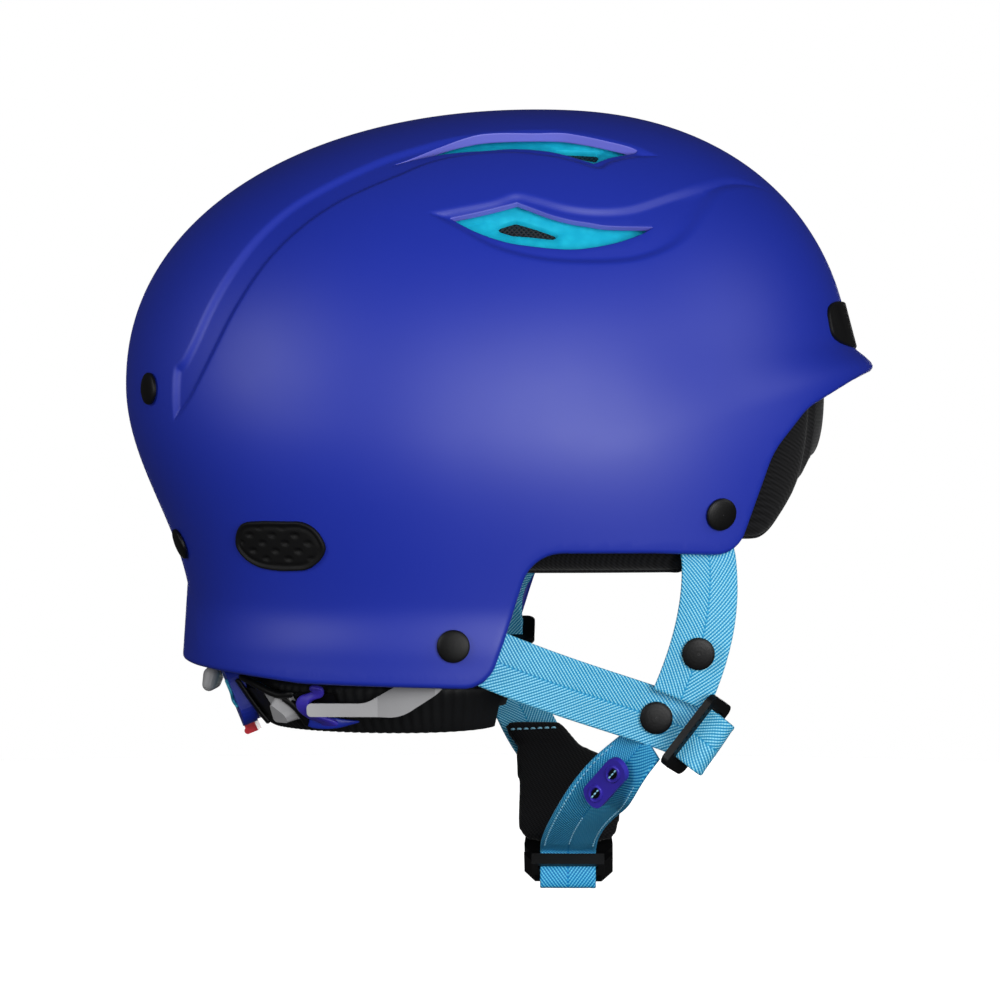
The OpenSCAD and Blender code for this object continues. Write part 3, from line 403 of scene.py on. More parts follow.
def webbing(name, dark, mid, light):
    """Herringbone webbing from the strip's own lengths: U across it and V along it, in mm."""
    dark, mid, light = (srgb(*c) for c in (dark, mid, light))
    g = Graph(new_material(name, mid, 0.55, 0.3))
    uv = g.node("ShaderNodeUVMap", uv_map="weave").outputs[0]
    u, v, _ = g.node("ShaderNodeSeparateXYZ", [uv]).outputs
    s = g.math("ABSOLUTE", u)
    rib = g.math("ADD", g.math("MULTIPLY", v, 0.62), g.math("MULTIPLY", s, 0.80))
    cross = g.math("SUBTRACT", g.math("MULTIPLY", v, 0.9), g.math("MULTIPLY", s, 0.55))
    ribs = g.spread(g.wave(rib, 0.98), -1, 1, 0, 1)
    dots = g.spread(g.wave(cross, 0.9), -1, 1, 0, 1)
    h = g.math("MULTIPLY", g.math("POWER", ribs, 0.8), g.math("ADD", g.math("MULTIPLY", dots, 0.36), 0.64))
    h = g.math("ADD", h, g.math("MULTIPLY", g.noise(4200, 1), 0.14))
    # A thin groove at the middle, where the ribs change side; the groove is also darkened in colour, as painted
    # shade
    h = g.math("MULTIPLY", h, g.spread(s, 0.0, 0.45, 0.55, 1))
    # The colour follows the weave's height: partly the weave's own pale threads, partly painted shade in the
    # grooves and painted highlight on the rib tops.
    g.set("Base Color", g.ramp(h, [(0.05, dark), (0.5, mid), (0.95, light)]))
    g.set("Normal", g.bump(h, 0.0002, 0.7))


plastic("shell", (17, 42, 165), 0.5, 2600, 0.000012, 0.62, 0.015, 0.008)
# The vents' cut edges are the shell's own blue plastic; this lighter copy of it is painted light, as those
# edges face down and would render dark.
plastic("vent_wall", (104, 106, 205), 0.5, 2600, 0.000012, 0.5, 0.015, 0.008)
g = Graph(new_material("liner_foam", srgb(14, 184, 214), 0.7, 0.25))
beads = g.node("ShaderNodeTexVoronoi", {"Vector": g.place(), "Scale": 330}).outputs["Distance"]
g.set("Base Color", g.ramp(beads, [(0.0, srgb(22, 190, 218)), (0.75, srgb(8, 176, 208))]))
g.set("Normal", g.bump(g.math("MULTIPLY", beads, -1), 0.00008, 0.3))
WIRE_PITCH = 0.0016
g = Graph(new_material("mesh", srgb(22, 23, 25), 0.55, 0.3))
_, y, z = g.axes()
wires = g.math("MAXIMUM", *(g.wave(g.math(op, y, z), WIRE_PITCH) for op in ("ADD", "SUBTRACT")))
g.set("Base Color", g.ramp(g.spread(wires, 0, 1, 0, 1),
                           [(0.25, (0.0015, 0.0015, 0.0018)), (0.7, srgb(44, 45, 48))]))
g.set("Normal", g.bump(wires, 0.0003, 0.8))
plastic("bumper_rubber", (7, 7, 8), 0.6, 1800, 0.00006, 0.25)
plastic("black_plastic", (7, 7, 8), 0.45, 1400, 0.00006, 0.25)
knit("pad_fabric", (13, 13, 15), 0.0014, 0.00014)
webbing("webbing", (8, 122, 184), (54, 178, 224), (170, 234, 252))
# Darker, more saturated copy of the same webbing for the near chin strap: painted shade, as that strap hangs
# low and curled.
webbing("webbing_low", (0, 112, 190), (20, 164, 226), (120, 220, 252))
plastic("nape_rubber", (16, 17, 19), 0.6, 1500, 0.00008, 0.3)
plastic("blue_plastic", (24, 44, 160), 0.36)
plastic("violet_plastic", (62, 50, 180), 0.38)
plastic("grey_plastic", (164, 164, 166), 0.45, 1500, 0.00005)
plastic("accent_plastic", (58, 164, 194), 0.36)
plastic("red_plastic", (206, 12, 38), 0.34)
plastic("pale_thread", (150, 214, 240), 0.7, 3000, 0.0001)


def mesh(name, verts, faces, material, body=ROOT, replaces=(), slot=None, uvs=None, weld=0):
    """Piece from points in mm, smooth and facing outward. weld joins points nearer than that, in metres."""
    me = bpy.data.meshes.new(name)
    me.from_pydata((np.asarray(verts, float) / 1000).tolist(), [], [list(map(int, f)) for f in faces])
    me.update()
    if uvs is not None:
        layer = me.uv_layers.new(name="weave")
        at = np.empty(len(me.loops), int)
        me.loops.foreach_get("vertex_index", at)
        layer.data.foreach_set("uv", uvs[at].astype(np.float32).ravel())
    me.polygons.foreach_set("use_smooth", [True] * len(me.polygons))
    ob = add(name, me)
    me.materials.append(mat[material])
    if body:
        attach(ob, body)
    if replaces:
        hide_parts(*replaces)
    bm = bmesh.new()
    bm.from_mesh(me)
    if weld:
        bmesh.ops.remove_doubles(bm, verts=bm.verts, dist=weld)
    bmesh.ops.recalc_face_normals(bm, faces=bm.faces)
    bm.to_mesh(me)
    bm.free()
    return ob


def loft(rings, sides, closed=False):
    """Faces over rings of sides points, given by the rings' numbers. The ends are capped unless closed."""
    pairs = zip(rings, rings[1:] + rings[:1]) if closed else zip(rings[:-1], rings[1:])
    faces = [(a * sides + i, a * sides + (i + 1) % sides, b * sides + (i + 1) % sides, b * sides + i)
             for a, b in pairs for i in range(sides)]
    if not closed:
        faces += [tuple(r * sides + i for i in range(sides)) for r in (rings[0], rings[-1])]
    return faces


def add_modifier(ob, kind, **settings):
    m = ob.modifiers.new(kind.lower(), kind)
    for k, v in settings.items():
        setattr(m, k, v)
    return m


# ------------ skins cut by a rim and holes
ROW_CLEAR = 0.8          # how far the even grid of places keeps from an extra row
TRIANGLE_H = 0.866       # height of the grid's triangles for a side of 1


def even_loop(u, v, step):
    return resample(np.column_stack([skin_point(u, v), u, v]), step, True)[:, 3:]


def rim_loop(line, step):
    """The rim's unrolled places, all round, from its side-view line."""
    phi = np.radians(np.linspace(0, 360, 2880, endpoint=False))
    rho = np.linspace(RHO * 1.2, RHO * np.pi / 2 + SIDE_EQ + 95, 500)
    u, v = rho[None] * np.sin(phi[:, None]), -rho[None] * np.cos(phi[:, None])
    p = skin_point(u, v)
    below = p[..., 2] < np.interp(p[..., 1], line[:, 0], line[:, 1])
    first = below.argmax(1)
    lo, hi = rho[np.maximum(first - 1, 0)], rho[first]
    for _ in range(16):
        mid = (lo + hi) / 2
        q = skin_point(mid * np.sin(phi), -mid * np.cos(phi))
        low = q[:, 2] < np.interp(q[:, 1], line[:, 0], line[:, 1])
        hi, lo = np.where(low, mid, hi), np.where(low, lo, mid)
    return even_loop(lo * np.sin(phi), -lo * np.cos(phi), step * 1.02)


def side_loop(outline, s, step):
    """Unrolled places of a side-view outline, on side s."""
    return even_loop(*unroll_side(outline[:, 0], outline[:, 1], s), step)


def moved(uv, offset):
    """Unrolled places moved by 3-D offsets that lie in the face."""
    p, n, du, dv = skin_frame(uv[:, 0], uv[:, 1])
    a, b, c = np.sum(du * du, 1), np.sum(du * dv, 1), np.sum(dv * dv, 1)
    e, f = np.sum(du * offset, 1), np.sum(dv * offset, 1)
    det = a * c - b * b
    return uv + np.column_stack([(e * c - f * b) / det, (f * a - e * b) / det])


def edge_out(uv, inner):
    """Unit vectors in the face that point off the material at a loop. inner says that the loop is a hole."""
    p, n, _, _ = skin_frame(uv[:, 0], uv[:, 1])
    t = unit(np.roll(p, -1, 0) - np.roll(p, 1, 0))
    o = unit(np.cross(t, n))
    probe = moved(uv, o * 0.4)
    hit = in_polygon(probe, uv).mean() > 0.5
    return o if hit == inner else -o


def skin(name, loops, outer, inner, spacing, material, rows=(), lip_steps=8, wall=None, **kw):
    """Two-faced skin over the dome. loops holds (places, roll, square, is_hole): the edge is rolled out by roll
    between the faces, and square is how square it is. outer and inner turn places into points. rows are extra
    lines of places that the triangles follow. wall is the material of the holes' edges."""
    rims = []
    for uv, roll, square, hole in loops:
        o = edge_out(uv, hole)
        rims.append((moved(uv, -o * roll), o, roll, square, hole))

    def held(places):
        ok = in_polygon(places, rims[0][0])
        for r in rims[1:]:
            ok &= ~in_polygon(places, r[0])
        return ok

    lim = np.abs(rims[0][0]).max() + spacing
    n = int(lim / spacing) + 1
    gx, gy = np.meshgrid(np.arange(-n, n + 1) * spacing, np.arange(-n, n + 1) * spacing * TRIANGLE_H)
    gx = gx + (np.arange(gy.shape[0])[:, None] % 2) * spacing / 2
    grid = np.column_stack([gx.ravel(), gy.ravel()])
    grid = grid[held(grid)]
    for r in rims:
        grid = grid[~within(grid, r[0], spacing * 0.55)]
    lines = []
    for line in rows:
        grid = grid[~within(grid, line, ROW_CLEAR)]
        line = line[held(line)]
        for r in rims:
            line = line[~within(line, r[0], spacing * 0.3)]
        for p in lines:
            line = line[~within(line, p, 0.2)]
        lines.append(line)
    edges, loop_ids, at = [], [], 0
    for r in rims:
        ids = list(range(at, at + len(r[0])))
        edges += zip(ids, ids[1:] + ids[:1])
        loop_ids.append(ids)
        at += len(ids)
    points = np.vstack([r[0] for r in rims] + lines + [grid])
    res = delaunay_2d_cdt([Vector(p) for p in points], edges, [], 0, 1e-5)
    verts = np.array([tuple(v) for v in res[0]])
    tris = np.array([f for f in res[2] if len(f) == 3])
    tris = tris[held(verts[tris].mean(1))]
    where = {i: k for k, ids in enumerate(res[3]) for i in ids}
    top, low = outer(verts[:, 0], verts[:, 1]), inner(verts[:, 0], verts[:, 1])
    nv = len(verts)
    all_verts, faces = [top, low], [tuple(t) for t in tris] + [tuple(nv + t[::-1]) for t in tris]
    count, walls = 2 * nv, []
    for (_, o, roll, square, hole), ids in zip(rims, loop_ids):
        m = len(ids)
        ring = np.array([where[i] for i in ids])
        a, b = top[ring], low[ring]
        rings = [ring]
        for k in range(1, lip_steps):
            w = (1 - cos(pi * k / lip_steps)) / 2
            bulge = (1 - abs(2 * w - 1) ** square) ** (1 / square)
            all_verts.append(a + (b - a) * w + o * roll * bulge)
            rings.append(np.arange(count, count + m))
            count += m
        rings.append(ring + nv)
        if hole:
            walls.append((len(faces) + m, len(faces) + m * (len(rings) - 1)))
        for r0, r1 in zip(rings[:-1], rings[1:]):
            faces += [(r0[k], r0[(k + 1) % m], r1[(k + 1) % m], r1[k]) for k in range(m)]
    ob = mesh(name, np.vstack(all_verts), faces, material, **kw)
    if wall:
        ob.data.materials.append(mat[wall])
        which = np.zeros(len(ob.data.polygons), np.int32)
        for a, b in walls:
            which[a:b] = 1
        ob.data.polygons.foreach_set("material_index", which)
    return ob


# Side-view lines of the two sunk bands, [y, z], the upper one with the corner under its vent
UPPER_TOP = [[104, 13.5], [104.3, 22.7], [103.6, 31.7], [100.6, 34.7], [96.7, 41.8], [92.4, 51], [87.4, 60.3],
             [81.1, 69.9], [73.5, 78.9], [64.4, 86.9], [52.4, 94.3], [36.3, 102.3], [26.4, 106], [12.2, 110.3],
             [0.1, 112.3], [-19.4, 113.8], [-35.2, 112.4], [-50.9, 108.9], [-58, 106], [-61.4, 104.4]]
UPPER_LOW = [[-61.4, 104.1], [-57.2, 103.6], [-52, 103], [-45.8, 101.1], [-40.7, 98.6], [-30.2, 101.7],
             [-19.9, 103.7], [-7.4, 104.5], [6.1, 103.2], [16.3, 100.7], [25.5, 96.6], [36, 92], [45.1, 87.6],
             [53.6, 82.2], [61.9, 75.3], [69.5, 67.2], [75.7, 58.5], [82.1, 47.7], [86.4, 39.3], [91.6, 29.5],
             [96.4, 21.1], [100.5, 15.8], [103.1, 13.6]]
LOWER_TOP = [[18.5, 82.9], [7.2, 85.1], [-5, 87.6], [-12.6, 90.3], [-20.2, 88.9], [-30.5, 86.1], [-40.7, 85.1],
             [-51, 86.1], [-61.2, 89.7], [-71.7, 94.2], [-82.5, 97.9], [-90.2, 97.8], [-96.7, 95.9],
             [-101.7, 93.6]]
LOWER_LOW = [[-102, 93], [-98.9, 93.9], [-91, 93.8], [-83.3, 91.4], [-79, 85.4], [-74.6, 78.7], [-69.4, 73.2],
             [-61.1, 68.7], [-51, 65.8], [-35.8, 65], [-20.6, 66.1], [-5.4, 70.2], [6.9, 77.1], [15.5, 81.8]]


def outline(*runs):
    """Closed side-view outline from smooth runs, each of which starts where the last one ends."""
    return np.vstack([smooth_path([runs[i - 1][-1]] + run, 8)[:-1] for i, run in enumerate(runs)])


UPPER_VENT = outline(
    [[23.8, 102.6], [14.5, 106.7], [4.8, 109.7], [-5, 111.2], [-24.5, 111.7], [-34.4, 110.6], [-44.3, 108.5],
     [-50.8, 106.8], [-53.5, 105.7]],
    [[-50.1, 104.8], [-44.3, 103.4], [-38.9, 101]],
    [[-34.5, 102.5], [-28.1, 104.4], [-21.6, 105.7], [-11.7, 106.4], [-1.9, 105.7], [7.9, 105], [17.4, 103.6],
     [28.8, 100.8]])
LOWER_VENT = outline(
    [[-0.8, 83.1], [-7.4, 84.8], [-13.4, 86.6]],
    [[-18.8, 84.5], [-25.1, 82.1], [-31.5, 80.4], [-37.8, 79.4], [-44.4, 78.5], [-58.8, 78.5]],
    [[-53.8, 75.5], [-44.4, 72.3], [-31.5, 70.4], [-15.7, 71.7], [-7.7, 73.4], [-1, 75.8], [4.7, 78.6],
     [8.8, 81]])


def above(places, depth):
    """Side-view places on the shell over places that lie at that depth under it."""
    return places + normal_at(places[:, 0], places[:, 1])[:, 1:] * depth


UPPER_VENT, LOWER_VENT = above(UPPER_VENT, SINK), above(LOWER_VENT, SINK)
BAND_EDGE = 3.4          # how far the step down into a band reaches
bands = []
for top, low, wide_from in ((UPPER_TOP, UPPER_LOW, None), (LOWER_TOP, LOWER_LOW, -60)):
    ring = resample(np.vstack([smooth_path(top, 6), smooth_path(low, 6)]), 0.9, True)
    width = np.full(len(ring), BAND_EDGE)
    if wide_from is not None:
        width += 3.2 * ease((wide_from - ring[:, 0]) / 22)
    bands.append((ring, width))


def ring_depth(points, ring, margin, depth_of):
    """Depths round a side-view ring, on both sides, by depth_of(distance to it, whether inside, nearest)."""
    depth = np.zeros(len(points))
    lo, hi = ring.min(0) - margin, ring.max(0) + margin
    for s in (1, -1):
        ok = (points[:, 0] * s > 0) & (points[:, 1:] > lo).all(1) & (points[:, 1:] < hi).all(1)
        if ok.any():
            line = np.column_stack([s * half_x(ring[:, 0], ring[:, 1]), ring])
            d, k = line_distance(points[ok], line)
            depth[ok] = depth_of(d, in_polygon(points[ok][:, 1:], ring), k)
    return depth


def sunk(points):
    """How deep each point of the shell lies in a sunk band."""
    return np.maximum(*(ring_depth(points, ring, 2, lambda d, held, k: SINK * ease(
        np.where(held, d, 0) / width[k])) for ring, width in bands))


def face(depth):
    """Face under the shell's, at a depth that is a number or a function of the points."""
    def points(u, v):
        p, n, _, _ = skin_frame(u, v)
        return p - n * (depth(p)[:, None] if callable(depth) else depth)
    return points


def both_sides(outlines, step, square):
    """Holes for skin(), with edges rolled by HOLE_ROLL."""
    return [(side_loop(o, s, step), HOLE_ROLL, square, True) for s in (1, -1) for o in outlines]


# ------------ shell
HOLE_ROLL, SHELL_SPACING, LINER_SPACING = 0.4, 2.4, 3.4
rows = []
for ring, _ in bands:
    for s in (1, -1):
        base = side_loop(ring, s, 1.1)
        out = edge_out(base, True)
        rows += [moved(base, out * k) for k in (-0.3, 0.4, 1.1, 1.8, 2.5, 3.2, 3.9)]
# The vents' edges take the lighter vent wall blue, which is painted light.
skin("shell_skin",
     [(rim_loop(rim_line(0), 1.7), 1.9, 2.0, False)] + both_sides((UPPER_VENT, LOWER_VENT), 0.7, 9.0),
     face(sunk), face(WALL), SHELL_SPACING, "shell", rows, wall="vent_wall", replaces=("outer_shell",))


# ------------ liner
BROW_EDGE, SIDE_EDGE = 11.0, 8.0
LINER_IN = 4.1           # inset of the liner's outside
POCKET = 2.2             # how far the foam is set back behind the vents


def brow_low(p):
    return 10 - 38 * ease((np.abs(p) - 20) / 36)


def brow_in(z, p):
    deep = BROW_EDGE + (PAD_IN - BROW_EDGE) * ease((z - brow_low(p) - 24) / 14)
    return np.minimum(PAD_IN, deep + flare(z, np.cos(np.radians(p))))


def side_low(p):
    return -36.5 - 5 * ease((np.abs(p) - 95) / 20)


def side_in(z, p):
    return SIDE_EDGE + (PAD_IN - SIDE_EDGE) * ease((z + ARCH_DROP - 2) / 12)


def liner_depth(z, phi):
    p = (phi + 180) % 360 - 180
    a = np.abs(p)
    base = np.full(z.shape, LINER_IN + LINER_T)
    w = ease((51.5 - a) / 2.5) * ease((52 - z) / 2.5)
    deep = np.minimum(brow_in(z - 3, p), brow_in(z, p)) - 1.0
    base = base * (1 - w) + np.minimum(base, deep) * w
    w = ease((a - 55.5) / 2) * ease((119.5 - a) / 2) * ease((10 - z) / 2.5)
    base = base * (1 - w) + np.minimum(base, side_in(z - 3, p) - 1.0) * w
    return base


def liner_inner(u, v):
    z, phi = unrolled(u, v)
    d = liner_depth(z, phi)
    rho = np.hypot(u, v)
    lift = np.where(rho < RHO * np.pi / 2, -d * np.cos(np.minimum(rho / RHO, np.pi / 2)), 0)
    # A groove for air down the middle of the crown, and one each side of it
    out = layer_point(z + lift, phi, d)
    for centre, wide, deep in ((0.0, 9.0, 5.0), (38.0, 8.0, 4.0), (-38.0, 8.0, 4.0)):
        k = np.clip(1 - (np.abs(out[:, 0] - centre) / wide) ** 2, 0, 1) ** 0.5
        k = (k * ease((out[:, 1] + 92) / 12) * ease((84 - out[:, 1]) / 12) * (out[:, 2] > 20)
             * ease((out[:, 2] - 22) / 20))
        out[:, 2] += deep * k
    return out


def liner_outer(p):
    return LINER_IN + np.maximum(*(ring_depth(p, ring, 8, lambda d, held, k: POCKET * ease(
        (5 - np.where(held, 0, d)) / 3)) for ring in (UPPER_VENT, LOWER_VENT)))


LINER_RIM = rim_line(2)
y = np.linspace(LINER_RIM[:, 0].min(), LINER_RIM[:, 0].max(), 600)
z = np.interp(y, LINER_RIM[:, 0], LINER_RIM[:, 1])
LINER_RIM = np.column_stack([y, np.maximum(z, np.where(y > -24, -46, -200))])
UPPER_WINDOW = rounded([[-23.2, 104.6, 0.8], [-27.2, 105.6, 2], [-40.8, 105.2, 0.8], [-38.5, 102.2, 0.8]])
LOWER_WINDOW = rounded([[-6.4, 77.5, 1.2], [-13.7, 80, 1.5], [-28.8, 74.8, 1], [-22.8, 74.4, 3],
                        [-12.8, 75.4, 3]])


def grown(places, across, up=None, lift=0):
    """Outline scaled about its middle, and lifted."""
    c = places.mean(0)
    return c + (places - c) * [across, up or across] + [0, lift]


UPPER_WINDOW = grown(above(UPPER_WINDOW, LINER_IN + POCKET), 1.15, 1.35, 1.3)
LOWER_WINDOW = grown(above(LOWER_WINDOW, LINER_IN + POCKET), 1.25, 1.2, 0.5)
skin("liner_skin",
     [(rim_loop(LINER_RIM, 2.6), 2.5, 4.0, False)] + both_sides((UPPER_WINDOW, LOWER_WINDOW), 0.6, 8.0),
     face(liner_outer), liner_inner, LINER_SPACING, "liner_foam", replaces=("impact_liner",))


# ------------ webbing
WEB_W, WEB_T = 20.0, 1.6
WEB_IN = WALL + 1.3 + WEB_T / 2


def curve(p, n):
    """Cubic curve through four control points."""
    p = [np.asarray(q, float) for q in p]
    return [(1 - t) ** 3 * p[0] + 3 * (1 - t) ** 2 * t * p[1] + 3 * (1 - t) * t * t * p[2] + t ** 3 * p[3]
            for t in np.linspace(0, 1, n + 1)]


def widths(path, a, b, turned=1.0):
    """Half-width vectors along a path and square to it, turned from a to b by this share of it."""
    path, a, b = [np.asarray(p, float) for p in path], np.asarray(a, float), np.asarray(b, float)
    n, out = len(path) - 1, []
    for i in range(n + 1):
        t = unit(path[min(n, i + 1)] - path[max(0, i - 1)])
        v = a + (b - a) * float(ease(i / n / turned))
        out.append(unit(v - t * (v @ t)) * (WEB_W / 2))
    return out


# A strap's section from selvedge to middle: share of the half width, and of the half thickness there
WEB_EDGE = [(1, 0.25), (0.985, 0.72), (0.94, 0.98), (0.88, 1.0), (0.8, 0.86), (0.6, 0.9), (0.4, 0.94),
            (0.2, 0.96), (0.03, 0.94), (0, 0.86)]
WEB_SECTION = [(-a, t) for a, t in WEB_EDGE] + WEB_EDGE[-2::-1]
BACK_SHIFT = 0.45        # shift of the weave on a strap's back


def square_to(w, t):
    return w - t * np.sum(w * t, 1, keepdims=True)


def strap(name, node, path, halves, material="webbing", body=ROOT):
    """Woven strip: firm rounded selvedges, a slight crown, and UVs in mm."""
    line = smooth_path(np.hstack([path, halves]), 12)
    run = run_length(line[:, :3])
    at = np.linspace(0, run[-1], max(8, int(run[-1])) + 1)
    line = rows_at(at, run, line)
    p = line[:, :3]
    t = unit(np.gradient(p, axis=0))
    w = unit(square_to(line[:, 3:], t))
    n = unit(np.cross(w, t))
    half = np.linalg.norm(halves, axis=1).mean()
    verts, uvs = [], []
    for side in (1, -1):
        for across, thick in WEB_SECTION:
            verts.append(p + w * (across * half) + n * (side * WEB_T / 2 * thick))
            uvs.append(np.column_stack([np.full(len(p), across * half), at + (BACK_SHIFT if side < 0 else 0)]))
    m, k = len(WEB_SECTION), len(p)
    ring = list(range(m)) + list(range(2 * m - 1, m - 1, -1))
    faces = [(a * k + i, a * k + i + 1, b * k + i + 1, b * k + i)
             for a, b in zip(ring, ring[1:] + ring[:1]) for i in range(k - 1)]
    faces += [(j * k + i, (j + 1) * k + i, (m + j + 1) * k + i, (m + j) * k + i)
              for i in (0, k - 1) for j in range(m - 1)]
    return mesh(name, np.concatenate(verts), faces, material, body, (node,), uvs=np.concatenate(uvs)), p, w, n


# Side-view places of the strap rivets, then the frames of the buckle and of the two sliders
rivet_front, rivet_rear = [-81.2, -17.5], [7.4, -61.4]
SOCKET_L, LADDER_TURN = 27.0, rad(65)
buckle_at, buckle_dir = np.array([38.0, -29, -127]), np.array([-0.776, 0, -0.63])
buckle_out = np.array([0.63, 0, -0.776])
near_slider, near_bar = np.array([-74, -73.3, -91.7]), np.array([0, -0.607, 0.795])
near_axis, near_lead = unit([-0.5, -0.69, -0.526]), unit([-0.5, -0.8, -0.35])
far_slider, far_bar, far_axis = np.array([68.0, -1, -63]), np.array([0, -1.0, 0]), unit([0.55, 0, -0.83])
SLOT_OFF, LOOP_L = 2.9, 6.5
near_step, far_step = np.cross(near_axis, near_bar) * SLOT_OFF, np.cross(far_axis, far_bar) * SLOT_OFF
near_in, near_out = near_slider - near_step, near_slider + near_step
far_in, far_out = far_slider + far_step, far_slider - far_step


def buckle_point(x, z):
    return buckle_at + buckle_dir * x + buckle_out * z


def ladder_at(x, z):
    c, s = cos(LADDER_TURN), sin(LADDER_TURN)
    return buckle_point(SOCKET_L + 5 + x * c - z * s, -x * s - z * c)


near_front = [inside([-81.2, -9], -1), inside(rivet_front, -1)] + curve(
    [inside([-79.5, -29], -1), [-77.6, -79.5, -46], [-76, -76, -62], [-73.6, -68.2, -80.2]], 10)
near_rear = ([inside([15, -57.8], -1), inside(rivet_rear, -1)]
             + curve([inside([-1, -65], -1), [-84, -30, -77], near_in - near_lead * 24,
                      near_in - near_axis * 3], 9)
             + [near_in + near_axis * 3, near_in + near_axis * LOOP_L]
             + [near_slider - near_step * cos(rad(a)) + near_axis * (LOOP_L + sin(rad(a)) * SLOT_OFF)
                for a in range(30, 180, 30)]
             + [near_out + near_axis * LOOP_L, near_out + near_axis * 3, near_out - near_axis * 3])
far_front = ([inside([-87, -17.5], 1), inside(rivet_front, 1)]
             + curve([inside([-76, -17.5], 1), [78, -71, -18], [57.5, -66, -20], [57, -30, -24]], 6)
             + curve([[57, -27, -24.5], [57, -9, -27], [58, 0, -44], far_in - far_axis * 12], 6)
             + [far_in - far_axis * 3, far_in + far_axis * 4])
far_rear = [inside([13, -58], 1), inside(rivet_rear, 1), inside([3, -64.5], 1),
            behind(-3, -69.5, 9.0), behind(-5, -73, 12.5), behind(-5.3, -75.5, 13.7)]
near_chin = curve([[-66.3, -57, -94.4], [-64, -45, -109], ladder_at(40, 3), ladder_at(7.8, 4.5)], 10) + [
    ladder_at(7.8, 0), ladder_at(7.7, -3), ladder_at(6.9, -5), ladder_at(5.8, -6.8), ladder_at(4.4, -8)]
far_chin = (curve([far_out - far_axis * 3, far_out + far_axis * 12, [76.5, -4, -80], [70.5, -9.5, -91]], 6)
            + curve([[69, -10.5, -93], [64, -14, -100], [57, -19, -108], [51, -24.5, -112.5]], 5)
            + curve([[49.5, -26, -113.5], buckle_point(-14, -5.5), buckle_point(-8, -5),
                     buckle_point(-4.3, -3.4)], 4)
            + [buckle_point(-4.3, 3)])

for name, path, turn in (("front_%s_right", near_front, (tangent(rivet_front, 1, 0, -1), [0, 1, 0.3])),
                         ("rear_%s_right", near_rear, (tangent(rivet_rear, -0.34, 0.94, -1), near_bar)),
                         ("front_%s_left", far_front, (tangent(rivet_front, 0, 1, 1), [0, -1, 0])),
                         ("rear_%s_left", far_rear, (tangent(rivet_rear, -0.34, 0.94, 1), [0, -1, 0.2])),
                         ("chin_%s_left", far_chin, ([0, -1, 0], [0, -1, 0]))):
    strap(name % "webbing", name % "strap", path, widths(path, *turn))
# The near chin strap takes the darker webbing copy, which is painted shade.
chin, chin_p, chin_w, chin_n = strap("chin_webbing_right", "chin_strap_right", near_chin, widths(
    near_chin, [-0.75, -0.5, -0.4], [0, -1, 0], 0.55), "webbing_low", None)

# ------------ seeing, threads and bindings
LENS = LENS_MM / SENSOR_MM * 1000
SIGHT_R = unit(np.cross([0, 0, 1.0], BACK))
SIGHT_U = np.cross(BACK, SIGHT_R)


def seen_on(ob, x, y):
    """Place and normal on the object that the camera sees at pixel (x, y), if any."""
    ray = Vector(unit(-BACK + SIGHT_R * (x - PICTURE_MIDDLE) / LENS + SIGHT_U * (PICTURE_MIDDLE - y) / LENS))
    hit, at, n, _ = ob.ray_cast(Vector(EYE / 1000), ray)
    return (np.array(at) * 1000, np.array(n)) if hit else None


def tube(name, path, radius, material, closed=False, sides=10, **kw):
    """Round bead along a line."""
    p = resample(smooth_path(path, 6, closed), max(0.8, radius * 1.2), closed)
    n = len(p)
    t = unit(np.roll(p, -1, 0) - np.roll(p, 1, 0) if closed else np.gradient(p, axis=0))
    a = unit(np.cross(t, [0.3, 0.2, 0.93]))
    b = np.cross(t, a)
    verts = []
    for k in range(n):
        r = radius if closed or 0 < k < n - 1 else radius * 0.5
        verts += [p[k] + (a[k] * cos(w) + b[k] * sin(w)) * r
                  for w in np.linspace(0, 2 * pi, sides, endpoint=False)]
    return mesh(name, verts, loft(list(range(n)), sides, closed), material, **kw)


def stitches(name, runs, long, gap, wide, high, slot="pad_fabric", body=ROOT):
    """Rows of pale thread. Each run is (points, normals); every stitch is a small rounded bar that dips at its
    ends."""
    verts, faces = [], []
    for pts, nrm in runs:
        both = np.hstack([pts, nrm])
        run = run_length(both[:, :3])
        count = max(1, int(run[-1] / (long + gap)))
        pitch = run[-1] / count
        for k in range(count):
            q = rows_at(k * pitch + gap / 2 + (pitch - gap) * np.array([0, 0.2, 0.5, 0.8, 1.0]), run, both)
            t = unit(q[-1, :3] - q[0, :3])
            n = unit(q[:, 3:] - t * (q[:, 3:] @ t)[:, None])
            side = np.cross(n, t)
            first = len(verts) // 6
            for m, lift in enumerate((-0.6, 0.6, 1.0, 0.6, -0.6)):
                c = q[m, :3] + n[m] * (lift * high)
                r = wide * (0.55 if m in (0, 4) else 1.0)
                verts += [c + side[m] * cos(a) * r + n[m] * sin(a) * r * 0.8
                          for a in (w * pi / 3 for w in range(6))]
            faces += loft([first + m for m in range(5)], 6)
    return mesh(name, verts, faces, "pale_thread", body, slot=slot)


def blade(name, path, halves, thick, material, square=3.0, **kw):
    """Loft of rounded flat sections. path holds places and halves the half widths there, as vectors."""
    both = smooth_path(np.hstack([path, halves]), 6)
    p = both[:, :3]
    t = unit(np.gradient(p, axis=0))
    w = square_to(both[:, 3:], t)
    n = np.cross(unit(w), t)
    sides, k = 20, len(p)
    a = np.linspace(0, 2 * pi, sides, endpoint=False)
    ca, sa = (np.sign(f(a)) * np.abs(f(a)) ** (2 / square) for f in (np.cos, np.sin))
    verts = [p[i] + w[i] * ca[j] + n[i] * sa[j] * thick / 2 for i in range(k) for j in range(sides)]
    verts += [p[i] + w[i] * ca[j] * 0.5 + n[i] * sa[j] * thick / 4 + t[i] * off * thick * 0.3
              for i, off in ((0, -1), (-1, 1)) for j in range(sides)]
    return mesh(name, verts, loft([k] + list(range(k)) + [k + 1], sides), material, **kw)


# ------------ pads
WELD, PIPING_R = 0.00002, 0.9


